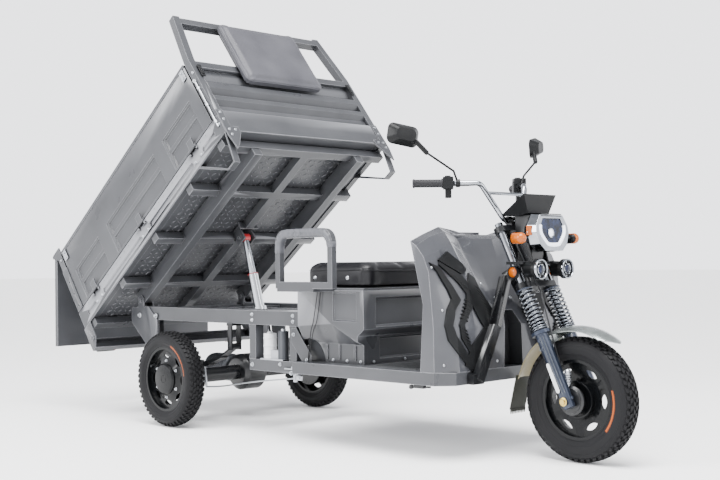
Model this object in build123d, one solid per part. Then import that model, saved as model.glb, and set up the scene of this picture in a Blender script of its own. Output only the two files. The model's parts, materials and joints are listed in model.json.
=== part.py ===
from build123d import *
from math import atan2, cos, degrees, hypot, radians, sin, sqrt, tan
import os

# Three-wheeled electric cargo vehicle with a tipping load bed.
# Frame: +X forward, +Y to the left, +Z up, millimetres.  The origin is on the
# floor, at mid width, straight below the rear axle.
# The bed is modelled lowered and level, then swung up about its rear pivot.

# ---------------------------------------------------------------- driving sizes
# wheels and their places
wheelbase = 2134.0
rear_track = 992.0
rear_tyre_od = 482.0
rear_tyre_w = 104.0
front_tyre_od = 508.0
front_tyre_w = 100.0
rim_seat_d = 305.0
rim_flange_d = 334.0
rim_w = 78.0
rim_t = 3.0
wheel_disc_t = 4.0
rear_drum_d = 220.0
front_drum_d = 150.0
hub_cap_d = 158.0
rear_slots = 8
front_slots = 6
wheel_slot_l = 60.0
wheel_slot_w = 24.0

# clearances
run_fit = 0.05
body_gap = 6.0
seat_gap = 0.3

# chassis
rail_y = 345.0
rail_w = 50.0
rail_h = 68.0
rail_top_z = 592.0
rail_rear_x = -486.0
rail_front_x = 835.0
cross_w = 50.0
cross_h = 50.0
lower_tube_h = 54.0
lower_tube_top_z = 358.0
rear_post_x = 480.0
front_post_x = 775.0
post_l = 46.0
floor_rear_x = 868.0
floor_front_gap = 85.0
floor_corner = 62.0
floor_half_w = 440.0
floor_top_z = 368.0
floor_beam_h = 53.0
floor_beam_w = 40.0
floor_plate_t = 3.0
floor_mat_t = 4.0

hanger_rear_x = -150.0

# leaf springs
spring_y = rail_y
spring_reach = 330.0
spring_eye_z = 408.0
spring_eye_d = 32.0
spring_pin_d = 12.0
spring_leaf_w = 46.0
spring_leaf_t = 9.0

# tipping pivot
pivot_x = -440.0
pivot_z = 625.0
pivot_pin_d = 20.0
pivot_ear_d = 54.0
gusset_t = 6.0
gusset_low_z = 386.0
bed_rest_tilt = 37.5

# load bed, lowered
bed_l = 1600.0
bed_half_w = 545.0
bed_rear_x = -767.0
bed_base_z = 681.0
bed_rail_h = 105.0
bed_rail_t = 34.0
bed_floor_t = 4.0
bed_floor_w = 6.0
side_h = 487.0
side_t = 34.0
side_skin_t = 3.0
side_rear_u = 62.0
side_front_gap = 50.0
side_recess = 16.0
side_step = 7.0
side_lip = 5.0
tray_shares = ((0.075625, 0.261875), (0.325, 0.679375), (0.73875, 0.9225))
tray_low = 122.0
tray_top = 316.0
tray_rib_low = 218.0
tray_rib_top = 240.0
rail_slot_h = 30.0
rail_slot_deep = 7.0
post_w = 42.0
subframe_w = 50.0
bearer_h = 42.0
bearer_w = 46.0
headboard_top = 800.0
headboard_mid = 452.0
headboard_t = 40.0
headboard_tube = 40.0
rear_bar_low = -142.0
rear_bar_h = 60.0
loop_t = 8.0
loop_w = 34.0
loop_drop = 158.0
corner_lug_drop = 112.0
pad_half_w = 272.0
pad_low = 330.0
pad_top = 762.0
pad_t = 45.0

# tailgate
gate_t = 28.0
gate_hinge_w = 515.0
gate_pin_d = 12.0
gate_hinge_u = -22.0
gate_end_gap = 14.0
gate_lug_t = 8.0
side_hinge_out = 10.0
side_hinge_down = 3.0
side_pin_d = 8.0
side_knuckle_d = 12.0
hinge_shares = (0.14375, 0.4925, 0.85)

# telescopic ram
ram_low_x = 191.0
ram_low_z = 312.0
ram_top_u = 876.0
ram_top_w = -60.0
barrel_d = 70.0
stage_d = 52.0
rod_d = 36.0
ram_eye_d = 44.0
ram_eye_w = 36.0
ram_pin_d = 18.0
ram_hanger_y = 60.0
ram_hanger_t = 10.0

# seat
seat_box_rear_x = 868.0
seat_box_front_x = 1296.0
seat_box_half_w = 400.0
seat_box_top_z = 704.0
seat_box_lip = 6.0
box_foot_in = 40.0
box_foot_z = 455.0
box_nose_low_z = 495.0
box_nose_high_z = 525.0
box_waist = ((0.0, 530.0), (0.523, 545.0), (0.892, 470.0), (1.0, 470.0))
box_arch_r = 105.0
box_rib_shares = (0.362, 0.551, 0.783)
seat_box_t = 3.0
seat_h = 108.0
seat_half_w = 396.0
battery_half_w = 290.0
battery_h = 200.0
armrest_y = 520.0
armrest_tube = 30.0
armrest_l = 372.0
armrest_h = 262.0

# cowl
cowl_t = 4.0
cowl_depth = 195.0
cowl_foot_depth = 165.0
cowl_waist_up = 273.0
cowl_arch_half_w = 64.0
cowl_arch_up = 238.0
cowl_arch_deep = 70.0
# outer face of the shield at shares of its half width: (back, up) from the floor's front edge
cowl_stations = (
    (0.0, ((0, 0), (0, 177), (67, 319), (135, 461), (170, 548), (195, 562))),
    (0.155, ((0, 0), (0, 177), (67, 319), (135, 461), (170, 548), (195, 562))),
    (0.33, ((0, 0), (0, 177), (80, 372), (145, 482), (183, 548), (195, 580))),
    (0.57, ((0, 0), (0, 177), (50, 408), (130, 532), (165, 575), (195, 595))),
    (0.80, ((0, 0), (13, 177), (73, 408), (105, 492), (155, 552), (195, 562))),
    (1.0, ((60, 0), (60, 177), (83, 408), (110, 470), (150, 515), (181, 534))),
)
cowl_rim_waist = 115.0
cowl_rim_foot = 136.0
glove_back = 265.0
glove_half_w = 200.0
glove_low_up = 402.0
glove_top_up = 562.0
trim_proud = 6.0
# outlines of the dark covers on the shield's face: (out from mid width, up from the floor)
trim_outlines = (
    ((305, 490), (235, 420), (275, 395), (375, 455)),
    ((225, 400), (170, 375), (100, 225), (135, 180), (200, 175), (245, 260), (260, 350)),
    ((200, 172), (135, 176), (235, 35), (275, 4), (320, 25), (270, 110)),
    ((425, 445), (380, 425), (330, 340), (306, 290), (345, 250), (370, 190), (358, 145), (312, 85),
     (286, 48), (305, 24), (350, 65), (390, 130), (400, 190), (380, 255), (352, 295), (362, 335), (400, 410)),
    ((372, 448), (275, 388), (232, 330), (250, 260), (312, 190), (306, 140), (268, 92), (280, 65),
     (332, 135), (338, 190), (285, 260), (270, 315), (305, 365), (378, 436)),
)

# steering head and fork
rake = 25.0
fork_offset = 50.0
fork_half_w = 95.0
fork_leg_d = 54.0
fork_tube_d = 34.0
spring_od = 74.0
spring_wire_d = 9.0
spring_turns = 9
head_tube_d = 56.0
head_tube_low = 520.0
head_tube_high = 740.0
head_stay_w = 38.0
# the stay's bends: ahead of the floor's front edge, out from mid width, up from the floor
head_stay_bends = ((28.0, 273.0, -36.0), (21.0, 149.0, 177.0), (-12.0, 34.0, 374.0))
fork_tube_low = 250.0
fork_tube_high = 790.0
stem_d = 30.0
yoke_t = 24.0
yoke_low = 490.0
yoke_high = 748.0
yoke_stem_r = 30.0
yoke_leg_r = 28.0
axle_d = 16.0

# handlebar, one side's points: back from the front axle, outwards, up
bar_clamp_at = (334.0, 55.0, 731.0)
bar_bend_at = (383.0, 152.0, 889.0)
bar_end_at = (589.0, 338.0, 891.0)
bar_d = 22.0
bar_clamp_in = 10.0
bar_clamp_out = 34.0
grip_l = 120.0
grip_d = 33.0
mirror_root_y = 214.0
mirror_head_at = (542.0, 447.0, 1085.0)
mirror_neck_at = (484.0, 372.0, 1012.0)
mirror_w = 142.0
mirror_h = 88.0
mirror_deep = 38.0
mirror_turn = 21.0

# lamps and dash, from the front axle in the same way
dash_profile = ((344.0, 750.0), (187.0, 836.0), (196.0, 758.0), (254.0, 746.0))
dash_half_w = 112.0
dash_foot_half_w = 66.0
dash_low_up = 746.0
dash_top_up = 836.0
lamp_outline = ((84, 752), (114, 706), (118, 676), (98, 626), (62, 596))
lens_outline = ((61, 734), (86, 690), (80, 668), (42, 622))
lamp_mid_up = 676.0
lamp_back = 203.0
lamp_waist_back = 169.0
lamp_face_back = 126.0
lens_deep = 12.0
bracket_back = 272.0
bracket_front = 188.0
bracket_up = 546.0
bracket_t = 12.0
bracket_half_w = 126.0
bracket_box_up = 651.0
ring_lamp_d = 82.0
ring_lamp_y = 92.0
ring_lamp_up = 525.0
ring_lamp_front = 118.0
reflector_d = 50.0
reflector_along = 567.0
indicator_at = (163.0, 184.0, 652.0)
indicator_d = 46.0

# front mudguard
guard_crown_r = 298.0
guard_edge_r = 278.0
guard_half_w = 62.0
guard_t = 3.0
guard_front_deg = 51.0
guard_rear_deg = 165.5
flap_half_w = 52.0
flap_low_up = -64.0

# rear axle
axle_tube_d = 76.0
diff_d = 190.0
diff_w = 150.0
half_shaft_d = 34.0
motor_d = 142.0
motor_l = 190.0
motor_gap = 108.0
motor_rise = 12.0

# ---------------------------------------------------------------- derived places
rear_r = rear_tyre_od / 2
front_r = front_tyre_od / 2
wheel_y = rear_track / 2
rail_low_z = rail_top_z - rail_h
lower_tube_low_z = lower_tube_top_z - lower_tube_h
pivot_axis = Axis((pivot_x, 0, pivot_z), (0, -1, 0))
front_axle = Vector(wheelbase, 0, front_r)
fork_up = Vector(-sin(radians(rake)), 0, cos(radians(rake)))
fork_back = Vector(-cos(radians(rake)), 0, -sin(radians(rake)))
head_axis_foot = front_axle + fork_back * fork_offset
floor_front_x = wheelbase - front_r - floor_front_gap
cowl_rear_x = floor_front_x - cowl_depth
side_front_u = bed_l - side_front_gap
hinge_places = tuple(bed_l * share for share in hinge_shares)
box_nose_x = seat_box_front_x - box_foot_in


def from_axle(back, side, up):
    """A point behind, beside and above the front axle."""
    return Vector(wheelbase - back, side, front_r + up)


bar_clamp = from_axle(*bar_clamp_at)
bar_bend = from_axle(*bar_bend_at)
bar_end = from_axle(*bar_end_at)


def box(x0, x1, y0, y1, z0, z1):
    """A plain block between two corners."""
    return Pos((x0 + x1) / 2, (y0 + y1) / 2, (z0 + z1) / 2) * Box(x1 - x0, y1 - y0, z1 - z0)


def rod(start, end, diameter):
    """A round bar from one point to another."""
    a = Vector(*start)
    b = Vector(*end)
    plane = Plane(origin=a, z_dir=(b - a).normalized())
    return extrude(plane * Circle(diameter / 2), (b - a).length)


def square_tube(start, end, size, wide=None):
    """A straight square bar whose width lies along Y."""
    a = Vector(*start)
    b = Vector(*end)
    plane = Plane(origin=a, x_dir=(0, 1, 0), z_dir=(b - a).normalized())
    return extrude(plane * Rectangle(wide or size, size), (b - a).length)


def slab_xz(points, y0, y1):
    """An outline in the X-Z plane given a width along Y."""
    face = make_face(Polyline([Vector(x, y0, z) for x, z in points], close=True))
    return extrude(face, y1 - y0, dir=(0, 1, 0))


def slab_yz(points, x0, x1):
    """An outline in the Y-Z plane given a length along X."""
    face = make_face(Polyline([Vector(x0, y, z) for y, z in points], close=True))
    return extrude(face, x1 - x0, dir=(1, 0, 0))


def slab_xy(points, z0, z1):
    """An outline in the X-Y plane given a height along Z."""
    face = make_face(Polyline([Vector(x, y, z0) for x, y in points], close=True))
    return extrude(face, z1 - z0, dir=(0, 0, 1))


def both_sides(shape):
    """The shape and its mirror image across the mid plane, kept apart."""
    return Compound(children=[shape, mirror(shape, Plane.XZ)])


def mirrored(shape):
    return mirror(shape, Plane.XZ)


def raise_bed(shape):
    """Swing a piece of the lowered bed up to the angle it rests at."""
    return shape.rotate(pivot_axis, bed_rest_tilt)


def pressing(centre, wide, tall, deep, inward, across, taper=35.0):
    """A shallow tray with sloping walls, as a tool presses it into sheet."""
    face = Plane(origin=Vector(*centre) - Vector(*inward) * 0.5, x_dir=across, z_dir=inward) * Rectangle(wide, tall)
    return extrude(face, deep + 0.5, taper=taper)


def save(name, shape):
    os.makedirs("parts", exist_ok=True)
    export_step(shape, f"parts/{name}.step")


def bed_x(u):
    return bed_rear_x + u


def bed_z(w):
    return bed_base_z + w


# ---------------------------------------------------------------- wheels
def tyre(outer_d, width):
    """Carcass of a narrow tyre with a crowned tread, standing at the origin."""
    r = outer_d / 2
    seat = rim_seat_d / 2
    half = width / 2
    bead = rim_w / 2 - 8
    shoulder_r = r - 20
    shoulder_y = half - 8
    belly_r = (r + seat) / 2
    outline = [
        Line((seat, -bead), (seat + 22, -bead - 3)),
        ThreePointArc((seat + 22, -bead - 3), (belly_r, -half), (shoulder_r, -shoulder_y)),
        ThreePointArc((shoulder_r, -shoulder_y), (r, 0), (shoulder_r, shoulder_y)),
        ThreePointArc((shoulder_r, shoulder_y), (belly_r, half), (seat + 22, bead + 3)),
        Line((seat + 22, bead + 3), (seat, bead)),
        Line((seat, bead), (seat, -bead)),
    ]
    return revolve(make_face(outline), Axis.Y)


def turned(points):
    """A solid of revolution about Y from (radius, y) points."""
    return revolve(make_face(Polyline([Vector(r, y) for r, y in points], close=True)), Axis.Y)


def rim(slots, hub_d, bore_d, drum_d, drum_y0, drum_y1, hub_y0, hub_y1, disc_y):
    """Steel rim, slotted pressed disc, drum and hub in one, with the outside at +Y."""
    seat = rim_seat_d / 2 - seat_gap
    flange = rim_flange_d / 2
    half = rim_w / 2
    barrel = turned([
        (flange, -half), (flange, -half + rim_t), (seat, -half + rim_t + 4),
        (seat, half - rim_t - 4), (flange, half - rim_t), (flange, half),
        (seat - rim_t, half), (seat - rim_t, -half),
    ])
    disc_r = seat - rim_t + 0.5
    disc = turned([
        (hub_d / 2 - 2, disc_y + 12), (hub_d / 2 + 22, disc_y + 12), (disc_r - 40, disc_y - 4),
        (disc_r, disc_y - 4), (disc_r, disc_y - 4 - wheel_disc_t),
        (disc_r - 42, disc_y - 4 - wheel_disc_t), (hub_d / 2 + 20, disc_y + 12 - wheel_disc_t),
        (hub_d / 2 - 2, disc_y + 12 - wheel_disc_t),
    ])
    slot_r = disc_r - 30
    half_l = wheel_slot_l / 2
    half_w = wheel_slot_w / 2
    lens = make_face([
        ThreePointArc((slot_r, -half_l), (slot_r + half_w, 0), (slot_r, half_l)),
        ThreePointArc((slot_r, half_l), (slot_r - half_w, 0), (slot_r, -half_l)),
    ])
    cutter = extrude(Pos(0, disc_y, 0) * Rot(90, 0, 0) * lens, 30, both=True)
    for k in range(slots):
        disc -= cutter.rotate(Axis.Y, 360.0 * k / slots)
    hub = Pos(0, (hub_y0 + hub_y1) / 2, 0) * Rot(90, 0, 0) * Cylinder(hub_d / 2, hub_y1 - hub_y0)
    drum = turned([
        (0, drum_y0 + 8), (drum_d / 2 - 8, drum_y0 + 8), (drum_d / 2 - 8, drum_y0),
        (drum_d / 2, drum_y0), (drum_d / 2, drum_y1 - 6), (drum_d / 2 - 6, drum_y1), (0, drum_y1),
    ])
    solid = barrel + disc + hub + drum
    bore = Rot(90, 0, 0) * Cylinder(bore_d / 2 + run_fit, 400)
    return solid - bore


def rear_wheel(sign):
    """Tyre and rim of one rear wheel; sign +1 is the left."""
    place = Pos(0, sign * wheel_y, rear_r)
    half = rim_w / 2
    wheel_rim = rim(rear_slots, 96, half_shaft_d, rear_drum_d, -rear_tyre_w / 2 + 4, -2,
                    -rear_tyre_w / 2 + 12, half - 6, half - 18)
    cap = turned([(0, half - 6), (hub_cap_d / 2, half - 6), (hub_cap_d / 2, half - 2),
                  (hub_cap_d / 2 - 8, half + 6), (0, half + 8)])
    wheel_rim = wheel_rim + cap
    if sign < 0:
        wheel_rim = mirrored(wheel_rim)
    return place * tyre(rear_tyre_od, rear_tyre_w), place * wheel_rim


def front_wheel():
    place = Pos(wheelbase, 0, front_r)
    half = rim_w / 2
    front_rim = rim(front_slots, 52, axle_d, front_drum_d, -half + 4, half - 10, -48, 48, -half + 30)
    return place * tyre(front_tyre_od, front_tyre_w), place * front_rim


# ---------------------------------------------------------------- chassis
def chassis_frame():
    """Two top rails, their cross members, the drop posts and the lower tubes."""
    y0 = rail_y - rail_w / 2
    y1 = rail_y + rail_w / 2
    half = box(rail_rear_x, rail_front_x, y0, y1, rail_low_z, rail_top_z)
    half += box(rear_post_x, rail_front_x, y0, y1, lower_tube_low_z, lower_tube_top_z)
    for x in (rear_post_x, front_post_x):
        half += box(x, x + post_l, y0, y1, lower_tube_low_z, rail_low_z)
    frame = half + mirrored(half)
    cross_z = rail_low_z + 6
    for x in (rail_rear_x, hanger_rear_x, rear_post_x, rail_front_x - cross_w):
        frame += box(x, x + cross_w, -y0, y0, cross_z, cross_z + cross_h)
    for x in (rear_post_x, rail_front_x - cross_w):
        frame += box(x, x + cross_w, -y0, y0, lower_tube_low_z, lower_tube_top_z)
    for side in (-1, 1):
        low = side * ram_hanger_y - ram_hanger_t / 2
        high = side * ram_hanger_y + ram_hanger_t / 2
        frame += box(hanger_rear_x, rear_post_x + cross_w, low, high, cross_z, cross_z + cross_h)
        frame += slab_xz([(ram_low_x - 60, cross_z + 2), (ram_low_x + 60, cross_z + 2),
                          (ram_low_x + 26, ram_low_z - 28), (ram_low_x - 26, ram_low_z - 28)], low, high)
    pin_end = ram_hanger_y + ram_hanger_t / 2 + 8
    frame += rod((ram_low_x, -pin_end, ram_low_z), (ram_low_x, pin_end, ram_low_z), ram_pin_d)
    front = rail_front_x
    path = ThreePointArc((front - 32, 0, rail_low_z + 8), (front + 24, 0, rail_low_z - 112), (front + 12, 0, lower_tube_low_z - 8))
    strap = sweep(Plane(origin=path @ 0, z_dir=path % 0, x_dir=(0, 1, 0)) * Rectangle(32, 5), path=path)
    strap += box(front - 2, front + 18, -16, 16, lower_tube_low_z + 12, lower_tube_low_z + 30)
    for side in (-1, 1):
        frame += Pos(0, side * (y0 - 18), 0) * strap
    return frame


def rear_gussets():
    """Plates outside each rail's rear end, which carry the pivot and the spring."""
    y0 = rail_y + rail_w / 2
    outline = [(pivot_x - 90, rail_top_z - 8), (pivot_x + 70, rail_top_z), (-290, rail_low_z),
               (-290, gusset_low_z), (-390, gusset_low_z), (pivot_x - 90, rail_low_z - 20)]
    outer = slab_xz(outline, y0, y0 + gusset_t)
    outer += rod((pivot_x, y0, pivot_z), (pivot_x, y0 + gusset_t, pivot_z), pivot_ear_d)
    outer += box(pivot_x - pivot_ear_d / 2, pivot_x + pivot_ear_d / 2, y0, y0 + gusset_t,
                 rail_top_z - 10, pivot_z)
    y2 = rail_y - rail_w / 2
    inner = rod((pivot_x, y2 - gusset_t, pivot_z), (pivot_x, y2, pivot_z), pivot_ear_d)
    inner += box(pivot_x - pivot_ear_d / 2, pivot_x + pivot_ear_d / 2, y2 - gusset_t, y2,
                 rail_top_z - 12, pivot_z)
    pin = rod((pivot_x, y2 - gusset_t - 6, pivot_z), (pivot_x, y0 + gusset_t + 8, pivot_z), pivot_pin_d)
    spring_pin = rod((-spring_reach, spring_y - spring_leaf_w / 2 - 8, spring_eye_z),
                     (-spring_reach, y0 + gusset_t + 4, spring_eye_z), spring_pin_d)
    inner_plate = box(-spring_reach - 20, -spring_reach + 20, y2 - gusset_t, y2,
                      spring_eye_z - 20, rail_top_z - 20)
    return both_sides(outer + inner + pin + spring_pin + inner_plate)


def floor_pan():
    """Footwell floor: one pressed pan with boxed edges, a mid beam and clipped front corners."""
    x0 = floor_rear_x
    x1 = floor_front_x
    hw = floor_half_w
    c = floor_corner
    z0 = floor_top_z - floor_beam_h
    plan = [(x0, -hw), (x1 - c, -hw), (x1, -hw + c + 3), (x1, hw - c - 3), (x1 - c, hw), (x0, hw)]
    pan = slab_xy(plan, z0, floor_top_z)
    mid = (x0 + x1) / 2
    inner = hw - floor_beam_w
    for a, b in ((x0 + floor_beam_w, mid - floor_beam_w / 2), (mid + floor_beam_w / 2, x1 - floor_beam_w)):
        pan -= box(a, b, -inner, inner, z0 - 1, floor_top_z - floor_plate_t)
    pan += box(seat_box_front_x + 12, cowl_rear_x - 12, -hw + 50, hw - 50, floor_top_z, floor_top_z + floor_mat_t)
    for side in (-1, 1):
        y = side * rail_y
        pan += box(rail_front_x, x0, y - rail_w / 2, y + rail_w / 2, lower_tube_low_z + 11, lower_tube_top_z)
    return pan


def seat_box_blank(t):
    """The seat box as a block, drawn in below on three sides, with its pressed trays; t shrinks it."""
    x0 = seat_box_rear_x
    x1 = seat_box_front_x
    hw = seat_box_half_w
    z0 = floor_top_z - (1 if t else 0)
    wide = hw - t
    foot = hw - box_foot_in - t
    sections = []
    for share, waist in box_waist:
        x = x0 + t + share * (x1 - x0 - 2 * t)
        outline = [(-foot, z0), (foot, z0), (foot, box_foot_z), (wide, waist), (wide, seat_box_top_z - t),
                   (-wide, seat_box_top_z - t), (-wide, waist), (-foot, box_foot_z)]
        sections.append(make_face(Polyline([Vector(x, y, z) for y, z in outline], close=True)))
    blank = loft(sections, ruled=True)
    nose = box_nose_x - t
    blank -= slab_xz([(nose, z0 - 2), (nose, box_nose_low_z), (x1 - t, box_nose_high_z), (x1 + 1, box_nose_high_z),
                      (x1 + 1, z0 - 2)], -hw - 1, hw + 1)
    top_tray = (box_nose_high_z + 8 + seat_box_top_z - 40) / 2
    blank -= pressing((x1 - t, 0, top_tray), 2 * (hw - 76) + 2 * t, 131 + 2 * t, 14, (-1, 0, 0), (0, 1, 0))
    low_tray = (floor_top_z + 22 + box_nose_low_z - 8) / 2
    blank -= pressing((nose, 0, low_tray), 2 * (hw - 138) + 2 * t, 96 + 2 * t, 10, (-1, 0, 0), (0, 1, 0))
    for side in (-1, 1):
        blank -= pressing((x0 + 0.72 * (x1 - x0), side * wide, 622), 150 + 2 * t, 128 + 2 * t, 7,
                          (0, -side, 0), (1, 0, 0))
        arch_y = side * (foot - 34)
        blank -= rod((x0 + 37, arch_y, floor_top_z), (x0 + 37, side * (hw + 1), floor_top_z), 2 * (box_arch_r + t))
    return blank


def seat_box():
    """Pressed sheet box under the seat, on a ribbed foot, with a rolled lip at the top."""
    x0 = seat_box_rear_x
    x1 = seat_box_front_x
    hw = seat_box_half_w
    shell = seat_box_blank(0) - seat_box_blank(seat_box_t)
    foot = hw - box_foot_in
    for share in box_rib_shares:
        x = x0 + share * (x1 - x0)
        for side in (-1, 1):
            y = side * foot
            shell += box(x - 6, x + 6, min(y, y + side * 5), max(y, y + side * 5), floor_top_z + 16, box_foot_z - 4)
    lip = seat_box_lip
    ring = box(x0, x1 + lip, -hw - lip, hw + lip, seat_box_top_z - 10, seat_box_top_z)
    ring -= box(x0 + 2, x1 - 2, -hw + 2, hw - 2, seat_box_top_z - 11, seat_box_top_z + 1)
    return shell + ring


def seat_cushion():
    x0 = seat_box_rear_x + 6
    x1 = seat_box_front_x + 14
    z0 = seat_box_top_z + seat_gap
    pad = box(x0, x1, -seat_half_w, seat_half_w, z0, z0 + seat_h)
    pad = fillet(pad.edges().filter_by(Axis.Z), 60)
    top = pad.faces().sort_by(Axis.Z)[-1].edges()
    return fillet(top, 32)


def battery_pack():
    """The block of cells that stands on the floor inside the seat box."""
    x0 = seat_box_rear_x + 30
    x1 = box_nose_x - 30
    return box(x0, x1, -battery_half_w, battery_half_w, floor_top_z, floor_top_z + battery_h)


def armrest():
    """Square tube loop outboard of the seat on the right, with its outrigger."""
    y0 = -armrest_y - armrest_tube / 2
    x0 = floor_rear_x + 4
    x1 = x0 + armrest_l
    z0 = seat_box_top_z
    z1 = z0 + armrest_h
    outer = box(x0, x1, y0, y0 + armrest_tube, z0, z1)
    outer = fillet(outer.edges().filter_by(Axis.Y).group_by(Axis.Z)[-1], 60)
    inner = box(x0 + armrest_tube, x1 - armrest_tube, y0 - 1, y0 + armrest_tube + 1,
                z0 + armrest_tube, z1 - armrest_tube - 8)
    inner = fillet(inner.edges().filter_by(Axis.Y).group_by(Axis.Z)[-1], 34)
    loop = outer - inner
    plate = box(x0 + 10, x0 + 250, y0, -seat_box_half_w - seat_box_lip, z0 - 14, z0)
    return loop + plate


# ---------------------------------------------------------------- cowl
def cowl_section(share, points, t):
    """One upright section of the leg shield; t draws it in all round."""
    y = share * (floor_half_w - t)
    outline = []
    for k, (back, up) in enumerate(points):
        if k == 0:
            outline.append((back + t, -1 if t else 0))
        elif k == len(points) - 1:
            outline.append((back - t, up - t))
        else:
            outline.append((back + t, up - t))
    edge = abs(share) > 0.99
    outline.append(((cowl_rim_waist if edge else cowl_foot_depth) - t, cowl_waist_up))
    outline.append(((cowl_rim_foot if edge else cowl_foot_depth) - t, -1 if t else 0))
    corners = [Vector(floor_front_x - back, y, floor_top_z + up) for back, up in outline]
    return make_face(Polyline(corners, close=True))


def cowl_blank(t):
    """The shield's outer form, with the arch behind the front wheel pressed in."""
    right = [cowl_section(-share, points, t) for share, points in reversed(cowl_stations[1:])]
    left = [cowl_section(share, points, t) for share, points in cowl_stations]
    blank = loft(right + left, ruled=True)
    w = cowl_arch_half_w + t
    x0 = floor_front_x - cowl_arch_deep - t
    z0 = floor_top_z - 2
    z1 = floor_top_z + cowl_arch_up + t
    arch = slab_yz([(-w, z0), (w, z0), (w - 8, z1 - 60), (w - 34, z1), (-w + 34, z1), (-w + 8, z1 - 60)],
                   x0, floor_front_x + 20)
    return blank - arch


def cowl():
    """Leg shield moulding, hollow and open below, with a tray and a grab bar behind it."""
    shield = cowl_blank(0) - cowl_blank(cowl_t)
    back = floor_front_x - glove_back
    front = cowl_rear_x + 15
    hw = glove_half_w
    z0 = floor_top_z + glove_low_up
    z1 = floor_top_z + glove_top_up
    tray = box(back, front, -hw, hw, z0, z1)
    tray = fillet(tray.edges().filter_by(Axis.Z).group_by(Axis.X)[0], 22)
    tray -= box(back + cowl_t, cowl_rear_x - cowl_t, -hw + cowl_t + 14, hw - cowl_t - 14, z0 + cowl_t, z1 + 1)
    bar = box(back + 2, back + 14, -88, 88, z1, z1 + 13)
    return shield + (tray + bar)


def head_stay(side, wide):
    """One of the two bent square tubes from the floor's front edge up to the head tube."""
    bends = [(floor_front_x + ahead, side * out, floor_top_z + up) for ahead, out, up in head_stay_bends]
    bends.append(tuple(head_axis_foot + fork_up * (head_tube_low + 86)))
    stay = None
    for start, end in zip(bends, bends[1:]):
        length = square_tube(start, end, wide)
        stay = length if stay is None else stay + length
    return stay


def cowl_trims():
    """Dark raised covers that follow the shield's outer faces, relieved behind the stays."""
    layer = cowl_blank(-trim_proud) - cowl_blank(-seat_gap)
    trims = None
    for outline in trim_outlines:
        prism = slab_yz([(y, floor_top_z + up) for y, up in outline], floor_front_x - 150, floor_front_x + 20)
        piece = (layer & prism) - head_stay(1, head_stay_w + 2)
        trims = piece if trims is None else trims + piece
    return both_sides(trims)


def head_frame():
    """Head tube and the two square tubes that run down to the floor's front edge."""
    low = head_axis_foot + fork_up * head_tube_low
    high = head_axis_foot + fork_up * head_tube_high
    tube = rod(tuple(low), tuple(high), head_tube_d)
    for side in (-1, 1):
        tube += head_stay(side, head_stay_w)
        tube += box(floor_front_x, floor_front_x + 34, min(side * 240, side * 306), max(side * 240, side * 306),
                    floor_top_z - 52, floor_top_z - 10)
    tube -= rod(tuple(low - fork_up * 5), tuple(high + fork_up * 5), stem_d + 2 * run_fit)
    tube -= box(floor_rear_x, floor_front_x, -floor_half_w, floor_half_w, 200, floor_top_z + 10)
    return tube


# ---------------------------------------------------------------- rear axle
def leaf_springs():
    """A pack of three curved leaves under each rail, rolled into an eye at both ends."""
    y0 = spring_y - spring_leaf_w / 2
    low_z = rear_r + axle_tube_d / 2 + 14
    pack = None
    for k, reach in enumerate((spring_reach, spring_reach * 0.74, spring_reach * 0.46)):
        rise = (spring_eye_z - low_z - 20) * (reach / spring_reach) ** 2
        z = low_z + 26 - spring_leaf_t * (k + 1)
        arc = ThreePointArc((-reach, 0, z + rise), (0, 0, z), (reach, 0, z + rise))
        leaf = sweep(Plane(origin=arc @ 0, z_dir=arc % 0, x_dir=(0, 1, 0))
                     * Rectangle(spring_leaf_w, spring_leaf_t), path=arc)
        pack = leaf if pack is None else pack + leaf
    for side in (-1, 1):
        eye = rod((side * spring_reach, -spring_leaf_w / 2, spring_eye_z),
                  (side * spring_reach, spring_leaf_w / 2, spring_eye_z), spring_eye_d)
        pack += eye
    clamp = box(-44, 44, -spring_leaf_w / 2 - 6, spring_leaf_w / 2 + 6, rear_r + 10, low_z + 32)
    pack += clamp
    pack -= Pos(0, 0, rear_r) * Rot(90, 0, 0) * Cylinder(axle_tube_d / 2, 200)
    for side in (-1, 1):
        pack -= rod((side * spring_reach, -spring_leaf_w, spring_eye_z),
                    (side * spring_reach, spring_leaf_w, spring_eye_z), spring_pin_d + 2 * run_fit)
    pack = Pos(0, spring_y, 0) * pack
    return both_sides(pack)


def spring_shackles():
    """Plate pairs that hang the front spring eyes from the rails."""
    half = spring_leaf_w / 2
    pieces = None
    for side in (-1, 1):
        y = spring_y + side * (half + 4)
        plate = box(spring_reach - 16, spring_reach + 16, y - 4, y + 4, spring_eye_z - 16, rail_low_z)
        pieces = plate if pieces is None else pieces + plate
    pieces += box(spring_reach - 22, spring_reach + 22, spring_y - half - 8, spring_y + half + 8,
                  rail_low_z - 12, rail_low_z)
    pieces += rod((spring_reach, spring_y - half - 12, spring_eye_z),
                  (spring_reach, spring_y + half + 12, spring_eye_z), spring_pin_d)
    return both_sides(pieces)


def rear_axle():
    """Axle tube with the differential case, backing plates and stub shafts."""
    inner_y = wheel_y - rear_tyre_w / 2 - body_gap + 4
    axle = rod((0, -inner_y, rear_r), (0, inner_y, rear_r), axle_tube_d)
    case = Pos(0, 0, rear_r) * Rot(90, 0, 0) * Cylinder(diff_d / 2, diff_w)
    case = chamfer(case.edges(), 22)
    neck = rod((-motor_gap, 0, rear_r + motor_rise), (0, 0, rear_r + motor_rise), motor_d * 0.62)
    axle = axle + case + neck
    for side in (-1, 1):
        plate = rod((0, side * (inner_y - 8), rear_r), (0, side * inner_y, rear_r), rear_drum_d)
        shaft = rod((0, side * inner_y, rear_r), (0, side * (wheel_y + 24), rear_r), half_shaft_d)
        axle = axle + plate + shaft
    return axle


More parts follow.
